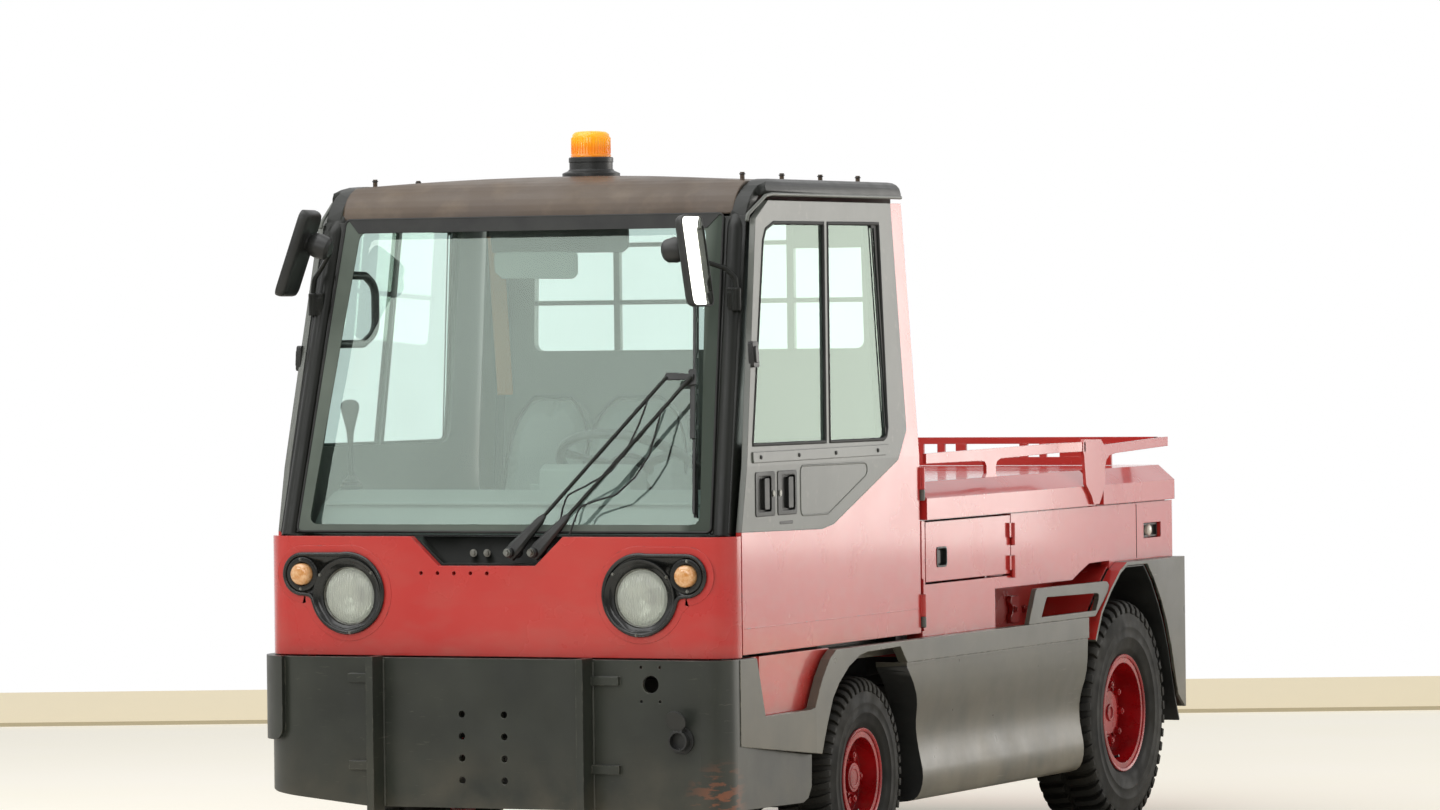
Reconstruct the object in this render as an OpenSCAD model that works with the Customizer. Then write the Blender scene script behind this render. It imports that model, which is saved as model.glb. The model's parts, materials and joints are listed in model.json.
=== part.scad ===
// Airport baggage tug: a four-wheel electric tow tractor with a two-door cab and a load deck.
// It faces -Y, its left side is +X, and it stands on Z = 0. Millimetres.
// Inside the modules Y is counted back from the red front panel, and placed() brings
// the middle of the whole length to Y = 0.

/* [Body] */
// Width over the painted body sides
body_w = 1320; // [1200:10:1400]
// How far the fenders, trims and skirts stand out from the body sides
trim_out = 38; // [30:1:60]
// Length from the front panel to the rear panel
body_len = 3155; // [3120:5:3300]
// Thickness of the painted body panels
panel_t = 20; // [12:1:26]
// Height of the front panel's top edge
nose_top = 926; // [900:2:950]
// Height of the lower edge of the doors and of the front panel's visible face
sill_z = 626; // [624:1:640]
// Radius of the body's front corners
nose_r = 70; // [60:1:80]
// Height of the rear body's top edge
side_top = 925; // [900:5:940]
// Top of the battery cover and of the rear deck
deck_top = 1028; // [1015:1:1050]

/* [Bumper] */
// How far the bumper's wings stand out from the body sides
bumper_side = 8; // [4:1:20]
// How far the bumper's face stands ahead of the front panel
bumper_out = 45; // [30:1:60]
// Thickness of the bumper plate
bumper_t = 12; // [8:1:16]
// Lower edge of the bumper
bumper_bottom = 236; // [210:2:260]
// Upper edge of the bumper
bumper_top = 618; // [600:1:622]
// How far the push ribs stand ahead of the bumper's face
rib_out = 60; // [40:1:80]
// Thickness of the push ribs
rib_t = 20; // [12:1:30]
// Sideways pitch of the two rows of accessory holes
hole_pitch_x = 120; // [80:5:160]
// Height pitch of the accessory holes
hole_pitch_z = 56; // [40:1:60]
// Radius of the accessory holes
hole_r = 9; // [4:0.5:12]
// Radius of the bumper's right corner
bumper_corner_r = 135; // [100:5:150]

/* [Cab] */
// Height of the belt line, above which the cab sides lean inwards
belt_z = 1100; // [1095:1:1110]
// Inward lean of the cab sides above the belt line, in degrees
side_lean = 3; // [2:0.25:4]
// Backward lean of the windscreen, in degrees
screen_lean = 14.3; // [13:0.1:15]
// Top of the cab floor
floor_z = 605; // [598:1:610]
// Thickness of the cab floor
floor_t = 30; // [20:1:36]
// Crown of the roof, its highest point
roof_top = 1850; // [1845:1:1870]
// Depth of the roof from its crown to its underside
roof_depth = 60; // [52:1:62]
// Back face of the cab
cab_back = 1246; // [1240:1:1250]
// Thickness of the cab's rear wall
wall_t = 30; // [20:1:36]
// Thickness of the painted lower door
door_t = 35; // [28:1:38]
// Thickness of the window frame of the door
sash_t = 16; // [12:1:18]
// Thickness of all window glass
glass_t = 5; // [4:0.5:8]

/* [Wheels] */
// Distance from the front panel to the front axle
front_axle_y = 860; // [850:1:870]
// Distance from the rear axle to the rear panel
rear_overhang = 435; // [420:5:460]
// Diameter of the front tyres
front_tyre_d = 530; // [510:2:540]
// Width of the front tyres
front_tyre_w = 155; // [140:1:160]
// Diameter of the rear tyres
rear_tyre_d = 650; // [620:2:660]
// Width of the rear tyres
rear_tyre_w = 190; // [170:2:196]
// How far the middles of the front tyres lie inside the body sides
front_wheel_in = 77.5; // [75:0.5:85]
// How far the middles of the rear tyres lie inside the body sides
rear_wheel_in = 71; // [66:1:80]
// How far the kingpins lie inside the body sides
kingpin_in = 182; // [180:1:190]
// Length of the steering arms behind the kingpins
steer_arm = 130; // [120:1:140]
// Width between the beads of the front rims
front_rim_w = 112; // [100:2:120]
// Width between the beads of the rear rims
rear_rim_w = 144; // [130:2:150]

/* [Chassis] */
// Height of the underside of the chassis rails
rail_z = 400; // [395:1:410]
// Height of the chassis rails
rail_h = 100; // [80:5:110]
// Width of the chassis rails
rail_w = 80; // [60:5:90]
// Distance between the chassis rails
rail_gap = 500; // [460:10:510]

/* [Rear] */
// How far the tow coupling stands behind the rear panel
coupling_out = 100; // [90:1:120]
// Height of the tow coupling's mouth
coupling_z = 400; // [390:1:420]
// Gap between the jaws of the tow coupling
coupling_gap = 62; // [50:1:70]
// Radius of the coupling pin
pin_r = 15; // [12:1:18]

/* [Hidden] */
$fn = 64;

// paint and finish colours
paint_red = "#c23b3f";
rim_red = "#b5121b";
anthracite = "#3a3d3b";
trim_grey = "#4a4c4b";
black = "#1d1e1e";
sash_grey = "#8f9691";
roof_grey = "#7d7464";
glass_tint = [0.75, 0.85, 0.8, 0.4];
amber = "#f09a1c";
seat_grey = "#55585a";

// derived sizes
half_w = body_w / 2;
roof_under = roof_top - roof_depth;
header_z = roof_under - 50;   // underside of the side and tail rails
door_top = roof_under - 15;
trim_x = half_w + trim_out;
bumper_hw = half_w + bumper_side;
front_y = -bumper_out - rib_out;
back_y = body_len + coupling_out;
y_mid = (front_y + back_y) / 2;
rear_axle_y = body_len - rear_overhang;
front_axle_z = front_tyre_d / 2;
rear_axle_z = rear_tyre_d / 2;
front_tyre_out = half_w - front_wheel_in + front_tyre_w / 2;
rear_tyre_out = half_w - rear_wheel_in + rear_tyre_w / 2;
kingpin_x = half_w - kingpin_in;
rail_in = rail_gap / 2;
rail_out = rail_in + rail_w;
rail_top = rail_z + rail_h;
seam = 6;              // open gap round a door or lid
fit = 0.3;             // gap between pieces that are bolted or bonded
door_front = nose_r + 5 + seam;
door_back = cab_back - 4;
screen_y = 76;         // foot of the windscreen
screen_z = nose_top + 1;
screen_s = (header_z - 3 - screen_z) / cos(screen_lean);   // slope length of the windscreen opening
foot_hw = half_w - 76; // half width of the opening at its foot
head_hw = foot_hw - 47;   // half width of the opening at its head
deck_front = cab_back + 16;
cover_back = rear_axle_y - 210;
deck_split = rear_axle_y - 148;
board_back = rear_axle_y - 330;   // rear end of the running boards
flange_x = half_w + 12;
flange_z = deck_top - 43;
arch_z = 760;          // top of the rear fenders
hinge_x = half_w + 4;  // door hinge line
hinge_y = cab_back + 6;
hinge_zs = [700, 1040];   // heights of the door hinges
cover_hinge_x = flange_x + 8;
rail_over_x = half_w - (roof_under - belt_z) * tan(side_lean);
roof_hw = rail_over_x - 62;
service_front = deck_front + 12 + seam;
service_back = 1885;
service_low = 760;
service_hinge_x = half_w + 7;
service_hinge_zs = [790, 880];
cover_hinge_ys = [deck_front + 118, deck_front + 598, cover_back - 150];
trim_low = 557;        // lower edge of the running board strip

module placed() { translate([0, -y_mid, 0]) children(); }

module both_sides() { children(); mirror([1, 0, 0]) children(); }

// Outline near the rear wheel, whose y is given from the rear axle
function aft(outline) = [for (p = outline) [p[0] + rear_axle_y, p[1]]];

module box(low, high) { translate(low) cube(high - low); }

// Plate whose outline is given as (y, z), with its outer face at x
module side_plate(outline, x, t) {
    translate([x - t, 0, 0]) rotate([90, 0, 90]) linear_extrude(t) polygon(outline);
}

// Plate whose outline is given as (x, z), with its front face at y
module front_plate(outline, y, t) {
    translate([0, y + t, 0]) rotate([90, 0, 0]) linear_extrude(t) polygon(outline);
}

// Round bar along an axis, centred on a point
module bar_x(at, r, len) { translate(at) rotate([0, 90, 0]) cylinder(r = r, h = len, center = true); }
module bar_y(at, r, len) { translate(at) rotate([90, 0, 0]) cylinder(r = r, h = len, center = true); }
module bar_z(at, r, len) { translate(at) cylinder(r = r, h = len, center = true); }

// Round rod between two points
module rod(a, b, r) {
    d = b - a;
    len = norm(d);
    translate(a) rotate([0, acos(d[2] / len), atan2(d[1], d[0])]) cylinder(r = r, h = len);
}

// Chain of rods through a list of points
module bent_rod(points, r) {
    for (i = [0 : len(points) - 2]) rod(points[i], points[i + 1], r);
    for (i = [1 : len(points) - 2]) translate(points[i]) sphere(r = r * 1.08);
}

// Moves a flat cab side so that what lies above the belt line leans inwards
module leaned() {
    translate([half_w, 0, belt_z]) rotate([0, -side_lean, 0])
        translate([-half_w, 0, -belt_z]) children();
}

// Slanted frame of the windscreen: x stays, y is depth behind the glass, z is slope length
module screen_frame() {
    translate([0, screen_y, screen_z]) rotate([-screen_lean, 0, 0]) children();
}

// Body outline in plan, open at the back: a front edge with two round corners
module nose_plan(hw, front, back, right_r, left_r, t) {
    difference() {
        nose_area(hw, front, back, right_r, left_r);
        nose_area(hw - t, front + t, back + 1, right_r - t, left_r - t);
    }
}

module nose_area(hw, front, back, right_r, left_r) {
    difference() {
        translate([-hw, front]) square([2 * hw, back - front]);
        for (c = [[-1, right_r], [1, left_r]]) translate([c[0] * (hw - c[1]), front + c[1]]) difference() {
            translate([c[0] * (c[1] / 2 + 1), -c[1] / 2 - 1]) square(c[1] + 2, center = true);
            circle(c[1]);
        }
    }
}

// Chassis: two rails, cross members, cab mounts and the plate behind the rear panel
module chassis_frame() {
    // place and width of the cross members
    cross = [[30, 60], [560, 50], [1300, 60], [rear_axle_y - 670, 60], [body_len - 255, 60],
        [body_len - 135, 60]];
    mount_ys = [120, 1130];
    color(black) placed() {
        both_sides() {
            box([rail_in, 30, rail_z], [rail_out, body_len - 75, rail_top]);
            for (y = mount_ys)
                box([rail_in, y, rail_top], [rail_out, y + 80, floor_z - floor_t - fit]);
        }
        for (c = cross)
            box([-rail_in, c[0], rail_z + 10], [rail_in, c[0] + c[1], rail_top - 10]);
        // brackets out to the bumper and to the side skirts
        both_sides() {
            box([rail_out, 30, rail_z + 10], [bumper_hw - bumper_t - 42, 90, rail_top - 10]);
            for (y = [1300, board_back - 90])
                box([rail_out, y, rail_z + 20], [half_w - 60, y + 50, rail_top - 20]);
        }
        box([-half_w + 40, body_len - 75, 290], [half_w - 40, body_len - 45, 560]);
    }
}

// Bumper plate that wraps both corners, with push ribs, weld tabs and accessory holes
hole_x = -11;
hole_z = 391;
lamp_hole_x = bumper_hw - 207;
wing_front = bumper_corner_r - bumper_out + 6;
module front_bumper() {
    wing_end = [[430, bumper_bottom - 6], [462, bumper_bottom + 4], [483, bumper_bottom + 32],
        [486, 350], [177, 384], [177, 467], [133, bumper_top], [wing_front, bumper_top]];
    low_edge = bumper_bottom + 30;   // of the right end
    color(anthracite) placed() difference() {
        union() {
            translate([0, 0, bumper_bottom]) linear_extrude(bumper_top - bumper_bottom)
                nose_plan(bumper_hw, -bumper_out, wing_front + 4, bumper_corner_r, nose_r, bumper_t);
            corner_guard();
            side_plate(concat([[wing_front, bumper_bottom]], wing_end), bumper_hw, bumper_t);
            mirror([1, 0, 0]) side_plate(concat([[wing_front, low_edge + 6], [260, bumper_bottom]],
                wing_end), bumper_hw, bumper_t);
            // push ribs, each with weld tabs on its outer side
            for (rib = [[-304, -1], [290, 1]]) {
                box([rib[0] - rib_t / 2, front_y, bumper_bottom - 16],
                    [rib[0] + rib_t / 2, -bumper_out, bumper_top + 4]);
                for (z = [341, 565]) translate([rib[0], 0, 0]) mirror([rib[1] < 0 ? 1 : 0, 0, 0])
                    box([0, -bumper_out - 12, z - 11], [86, -bumper_out, z + 11]);
            }
            // stand-offs back to the chassis
            both_sides() box([rail_in, -bumper_out + bumper_t, rail_z + 10],
                [rail_out, 30 - fit, rail_top - 10]);
        }
        // rising lower edge towards the right corner
        front_plate([[-340, bumper_bottom - 30], [-340, bumper_bottom], [-620, low_edge],
            [-650, low_edge + 6], [-bumper_hw - 40, low_edge + 6], [-bumper_hw - 40, bumper_bottom - 30]],
            -bumper_out - 20, bumper_out + 20 + wing_front + 5);
        for (ix = [-0.5, 0.5], iz = [-1.5 : 1.5])
            bar_y([hole_x + ix * hole_pitch_x, -bumper_out, hole_z + iz * hole_pitch_z],
                hole_r, 60);
        bar_y([lamp_hole_x, -bumper_out, 557], 22, 60);
        for (ix = [-26, 26], iz = [-43, 43])
            bar_y([lamp_hole_x + ix, -bumper_out, 557 + iz], 4, 60);
    }
}

// Plate welded over the right front corner of the bumper
module corner_guard() {
    guard_t = 16;
    inside = 84;   // how far it reaches round the front
    intersection() {
        translate([0, 0, 400]) linear_extrude(bumper_top - 400)
            nose_plan(bumper_hw + guard_t, -bumper_out - guard_t, wing_front + 4,
                bumper_corner_r + guard_t, nose_r + guard_t, guard_t + 1);
        translate([-bumper_hw, 0, 0]) front_plate([[-52, 640], [inside, 640], [inside, 434],
            [inside - 3, 420], [inside - 10, 410], [inside - 20, 404], [inside - 32, 402], [-52, 402]],
            -90, 90 + wing_front + 4);
    }
}

// Round socket for a trailer plug, with its flange and cap
module trailer_socket() {
    at = [bumper_hw - 122, -bumper_out - fit, 417];
    color(black) placed() difference() {
        union() {
            bar_y(at - [0, 3, 0], 34, 6);
            bar_y(at - [0, 14, 0], 26, 28);
            // lid, open on its hinge above
            box(at + [-12, -26, 22], at + [12, -3, 34]);
            translate(at + [0, -24, 30]) rotate([-62, 0, 0]) bar_z([0, -25, 0], 27, 5);
        }
        bar_y(at - [0, 20, 0], 21, 22);
    }
}

// Red front panel with its corners, the wiper notch and the lower side panels
notch = [[-235, nose_top + 1], [-156, 851], [120, 852], [200, nose_top + 1]];
module front_panel() {
    skin = half_w - (bumper_hw - bumper_t - fit);   // what shows beside the bumper's wings
    low_top = sill_z - 8;
    color(paint_red) placed() difference() {
        union() {
            translate([0, 0, sill_z - seam]) linear_extrude(nose_top - sill_z + seam)
                nose_plan(half_w, 0, nose_r + 5, nose_r, nose_r, panel_t);
            both_sides() {
                side_plate([[178, 463], [500, 464], [630, 586], [620, low_top], [178, low_top]],
                    half_w, skin + 1);
                side_plate([[wing_front, 463], [500, 464], [630, 586], [620, low_top],
                    [wing_front, low_top]], half_w - skin, 16);
                side_plate([[60, 560], [wing_front + 10, 560], [wing_front + 10, low_top],
                    [nose_r + 5, low_top], [nose_r + 5, sill_z + 20], [60, sill_z + 20]],
                    half_w - 10, 14);
            }
        }
        front_plate(notch, -1, panel_t + 2);
        both_sides() translate([0, panel_t + 1, 0]) rotate([90, 0, 0])
            linear_extrude(panel_t + 2) pod_outline(0);
        for (i = [0 : 4]) bar_y([-205 + 47 * i, 10, 832], 5, 40);
    }
}

// Outline of one lamp pod: a big round, a small lobe and the web between them
lamp_x = half_w - 245;
lamp_z = 772;
lamp_r = 73;
flasher_x = half_w - 118;
flasher_z = 823;
flasher_r = 30;
module pod_outline(shrink) {
    translate([lamp_x, lamp_z]) circle(112 - shrink);
    translate([flasher_x, flasher_z]) circle(53 - shrink);
    polygon([[lamp_x + 20, lamp_z + 110 - shrink], [flasher_x, flasher_z + 53 - shrink],
        [flasher_x + 8, flasher_z - 51 + shrink], [lamp_x + 84, lamp_z - 74 + shrink]]);
}

module lamp_pods() {
    color(black) placed() both_sides() difference() {
        translate([0, 36, 0]) rotate([90, 0, 0]) linear_extrude(44) pod_outline(fit);
        bar_y([lamp_x, 22, lamp_z], lamp_r + fit, 80);
        bar_y([flasher_x, 2, flasher_z], flasher_r + fit, 60);
    }
}

module headlamps() {
    color([0.9, 0.92, 0.92]) placed() both_sides() translate([lamp_x, 0, lamp_z])
        rotate([90, 0, 0]) rotate_extrude()
            polygon([[0, -50], [40, -50], [lamp_r, -22], [lamp_r, 4], [64, 9], [45, 14], [20, 17], [0, 18]]);
}

module indicators() {
    color(amber) placed() both_sides() translate([flasher_x, 0, flasher_z])
        rotate([90, 0, 0]) rotate_extrude()
            polygon([[0, -28], [flasher_r, -28], [flasher_r, 6], [24, 14], [12, 18], [0, 19]]);
}

// Cab floor with the ribs that stiffen it and a raised step behind the pedals
module cab_floor() {
    edge = half_w - door_t - seam - 1;
    color(trim_grey) placed() {
        box([-edge, panel_t + 15, floor_z - floor_t], [edge, cab_back, floor_z]);
        box([-edge + 60, 780, floor_z], [edge - 60, 1180, floor_z + 210]);
    }
}

// Black tube frame of the cab: pillars, headers, cowl and roof rails
pillar_out_foot = half_w - sash_t - seam;
function screen_hw(s) = foot_hw + (head_hw - foot_hw) * s / screen_s;
module cab_frame() {
    post_x = half_w - door_t - seam - 1;
    color(black) placed() {
        // leaning front pillars and the header between them
        screen_frame() {
            both_sides() front_plate([[foot_hw, 0], [pillar_out_foot, 0],
                [pillar_out_foot - 34, screen_s - 8], [screen_hw(screen_s - 8), screen_s - 8]], -24, 58);
            box([-head_hw - 10, 22, screen_s - 16], [head_hw + 10, 40, screen_s + 14]);
            box([-foot_hw - 4, -6, -22], [foot_hw + 4, 34, 0]);
        }
        // upright feet of the front pillars inside the nose
        both_sides() box([post_x - 34, 40, floor_z + fit], [post_x, 92, screen_z + 4]);
        // cowl ledge with the well for the wiper
        difference() {
            box([-foot_hw - 4, panel_t + fit, nose_top - 90], [foot_hw + 4, 92, nose_top - 2]);
            front_plate([[notch[0][0] + 6, nose_top], [notch[1][0] + 4, notch[1][1] + 6],
                [notch[2][0] - 4, notch[2][1] + 6], [notch[3][0] - 6, nose_top]], panel_t, 36);
            both_sides() translate([0, 60, 0]) rotate([90, 0, 0]) linear_extrude(60) pod_outline(-1);
        }
        // rear posts, leaning with the doors
        both_sides() {
            box([post_x - 50, cab_back - wall_t - 50, floor_z + fit],
                [post_x, cab_back - wall_t - fit, belt_z]);
            leaned() box([post_x - 50, cab_back - wall_t - 50, belt_z - 4],
                [post_x, cab_back - wall_t - fit, header_z + 12]);
        }
        // side rails under the roof's edge, and the tail rail
        both_sides() {
            box([roof_hw, 310, header_z], [roof_hw + 34, cab_back - wall_t - fit, roof_under - fit]);
            rail_over_door();
        }
        box([-roof_hw, cab_back - wall_t - 40, header_z],
            [roof_hw, cab_back - wall_t - fit, roof_under - fit]);
    }
}

// Rail along the roof's side, and its front end that curves down to the pillar
module rail_over_door() {
    top = roof_top - 18;
    low = top - 140;
    // front bend, with its drop below the rail's top
    bend = [for (p = [[252, 132], [256, 108], [264, 85], [276, 64], [292, 46], [312, 31], [336, 18],
        [364, 8], [392, 2], [420, 0]]) [p[0], top - p[1]]];
    intersection() {
        union() {
            side_plate(concat([[336, roof_under - 2]], [for (i = [6 : 9]) bend[i]],
                [[1208, top], [1218, top - 4], [1222, top - 14], [1222, roof_under - 2]]),
                rail_over_x, rail_over_x - roof_hw);
            side_plate(concat(bend, [[420, roof_under - 2], [360, top - 40], [334, top - 50],
                [314, top - 66], [300, top - 90], [292, top - 132]]),
                rail_over_x - sash_t - seam, rail_over_x - sash_t - seam - roof_hw);
        }
        front_plate([[roof_hw, low], [rail_over_x, low], [rail_over_x, top - 32],
            [rail_over_x - 4, top - 18], [rail_over_x - 12, top - 8], [rail_over_x - 22, top - 2],
            [rail_over_x - 34, top], [roof_hw, top + 1]], 200, 1100);
    }
}

// Crowned roof with a rounded front visor
module roof() {
    rise = 23.34;
    crown = roof_hw * roof_hw / (2 * rise);
    // heights in the profile are counted from the crown
    profile = [for (p = [[272, -108], [276, -92], [283, -76], [293, -61], [306, -48], [322, -37],
        [344, -27], [370, -18.5], [400, -12], [450, -4], [520, 2],
        [1100, 2], [1180, -12], [1210, -22], [1222, -36], [1222, -roof_depth], [352, -roof_depth],
        [322, -74], [304, -98], [298, -108]]) [p[0], p[1] + roof_top]];
    color(roof_grey) placed() {
        intersection() {
            side_plate(profile, roof_hw - fit, 2 * (roof_hw - fit));
            translate([0, 700, roof_top - crown]) rotate([90, 0, 0])
                cylinder(r = crown, h = 1400, center = true, $fn = 720);
        }
        // studs along both sides
        both_sides() for (y = [400 : 250 : 1150]) bar_z([roof_hw - 32, y, roof_top - 13], 6, 26);
    }
}

module windscreen() {
    gap = 1;
    color(glass_tint) placed() screen_frame() front_plate([
        [-foot_hw + gap, gap], [foot_hw - gap, gap],
        [head_hw - gap, screen_s - gap], [-head_hw + gap, screen_s - gap]], 4, glass_t);
}

// Rear wall of the cab with its barred window opening
window_hw = half_w - 160;
window_rows = [[1390, 1500], [1530, header_z - 50]];
window_columns = [[-window_hw, -210], [-170, 170], [210, window_hw]];
module rear_wall() {
    edge = half_w - door_t - seam - 1;
    top_x = edge - (header_z - belt_z) * tan(side_lean);
    color(sash_grey) placed() difference() {
        front_plate([[-edge, floor_z - floor_t - 20], [edge, floor_z - floor_t - 20],
            [edge, belt_z], [top_x, roof_under - 2], [-top_x, roof_under - 2], [-edge, belt_z]],
            cab_back - wall_t, wall_t);
        for (row = window_rows, col = window_columns)
            box([col[0], cab_back - wall_t - 5, row[0]], [col[1], cab_back + 5, row[1]]);
        box([-edge - 5, cab_back - wall_t - 5, floor_z - floor_t - 30],
            [edge + 5, cab_back + fit, floor_z + fit]);
    }
    // lower halves of the door hinges
    color(sash_grey) placed() both_sides() for (z = hinge_zs) {
        box([edge - 40, cab_back, z - 60], [hinge_x, cab_back + 8, z - 30 - fit]);
        bar_z([hinge_x, hinge_y, z - 45 - fit / 2], 7, 30 - fit);
    }
}

module rear_window() {
    color(glass_tint) placed()
        for (row = window_rows, col = window_columns)
            box([col[0] + fit, cab_back - 18, row[0] + fit],
                [col[1] - fit, cab_back - 18 + glass_t, row[1] - fit]);
}

// Instrument panel across the front of the cab
module dashboard() {
    hw = half_w - door_t - seam - 45;
    color(seat_grey) placed() side_plate([[118, floor_z + fit], [118, 950],
        [160, 1000], [235, 1034], [320, 1030], [352, 1000], [350, 955], [300, 930], [270, 880],
        [250, floor_z + fit]], hw, 2 * hw);
}

// Two seats: x of the middle and width
seats = [[110, 450], [310 - half_w, 420]];
module seat_cushions() {
    base_z = floor_z + 210 + 40;
    color(seat_grey) placed() for (s = seats) translate([s[0], 0, 0]) {
        side_plate([[700, base_z + 20], [700, base_z + 100], [740, base_z + 118],
            [1020, base_z + 100], [1020, base_z]], s[1] / 2, s[1]);
        side_plate([[1035, base_z + 70], [1000, base_z + 130], [1060, 1262], [1085, 1280],
            [1120, 1280], [1134, 1262], [1110, base_z + 70]], s[1] / 2, s[1]);
    }
}

module seat_frames() {
    base_z = floor_z + 210;
    color(black) placed() for (s = seats) translate([s[0], 0, 0]) {
        box([-s[1] / 2 + 40, 790, base_z + fit], [s[1] / 2 - 40, 1150, base_z + 40 - fit]);
        box([-s[1] / 2 + 60, 1134 + fit, base_z + 39], [s[1] / 2 - 60, 1146, base_z + 300]);
    }
}

// Steering column leaning towards the driver, and the wheel on it
wheel_at = [150, 520, 1085];
column_lean = 30;
module column_frame() { translate(wheel_at) rotate([-column_lean, 0, 0]) children(); }
module steering_column() {
    color(black) placed() {
        column_frame() translate([0, 0, -336]) cylinder(r = 32, h = 320.5);
        translate([wheel_at[0], 0, 0]) side_plate([[266, floor_z + fit], [266, 790], [330, 830],
            [385, 800], [400, floor_z + fit]], 45, 90);
    }
}

module steering_wheel() {
    ring_r = 190;
    grip_r = 13;
    color(black) placed() column_frame() {
        translate([0, 0, -15]) cylinder(r = 46, h = 28);
        rotate_extrude() translate([ring_r, 0]) circle(grip_r);
        for (a = [90, 210, 330]) rotate([0, 0, a])
            translate([40, -14, -6]) cube([ring_r - 44, 28, 9]);
    }
}

// Hand lever on the floor and the grab handle on the right front pillar
module cab_controls() {
    lever = [120 - half_w, 262, 1034];
    grip_x = 68 - half_w;
    color(black) placed() {
        rod(lever, lever + [-4, 0, 206], 8);
        translate(lever + [-4, 0, 218]) sphere(r = 24);
        bent_rod([[grip_x, 284, 1600], [grip_x, 482, 1587], [grip_x, 515, 1534], [grip_x, 473, 1455],
            [grip_x, 240, 1419]], 9);
    }
}

module beacon_base() {
    at = [0, 610, roof_top - 3 + fit];
    color(black) placed() translate(at) rotate_extrude()
        polygon([[0, 3], [76, 3], [76, 12], [62, 18], [57, 22], [57, 54], [0, 54]]);
}

module beacon_lens() {
    at = [0, 610, roof_top + 51 + 2 * fit];
    color(amber) placed() translate(at) rotate_extrude()
        polygon([[0, 0], [53, 0], [52, 52], [48, 62], [40, 68], [0, 70]]);
}

// Bent mirror arms clamped to the front pillars
head_at = [foot_hw - 41, 50, 1620];
head_turn = -14;
head_lean = -9;   // top inwards
head_t = 44;
module mirror_arms() {
    color(black) placed() both_sides() {
        screen_frame() box([foot_hw + 2, -62, 590], [foot_hw + 26, -24 - fit, 640]);
        translate([foot_hw, 0, 0]) {
            bent_rod([[16, 178, 1545], [13, 178, 1610], [-34, 166, 1650], [-114, 66, 1672]], 8);
            box([-132, 36, 1650], [-98, 70, 1692]);
        }
        translate(head_at) rotate([0, head_lean, head_turn])
            bar_x([-head_t / 2 - fit - 20, 4, 44], 12, 40);
    }
}

module mirror_heads() {
    color(black) placed() both_sides() translate(head_at) rotate([0, head_lean, head_turn])
        hull() for (y = [-48, 48], z = [-86, 86])
            translate([0, y, z]) rotate([0, 90, 0])
                cylinder(r = 22, h = head_t, center = true, $fn = 32);
}

// Wiper: two parallel arms from the cowl to an upright blade
module wiper() {
    color(black) placed() {
        for (x = [47, 104]) {
            bar_y([x, panel_t + 36 - fit - 24, nose_top - 40], 12, 48);
            rod([x, 12, nose_top - 40], [x + head_hw - 117, 143, 1312], 6);
        }
        screen_frame() {
            box([head_hw - 76, -38, 382], [head_hw - 5, -28, 396]);
            box([head_hw - 18, -34, 40], [head_hw - 6, -8, 610]);
        }
    }
}

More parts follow.
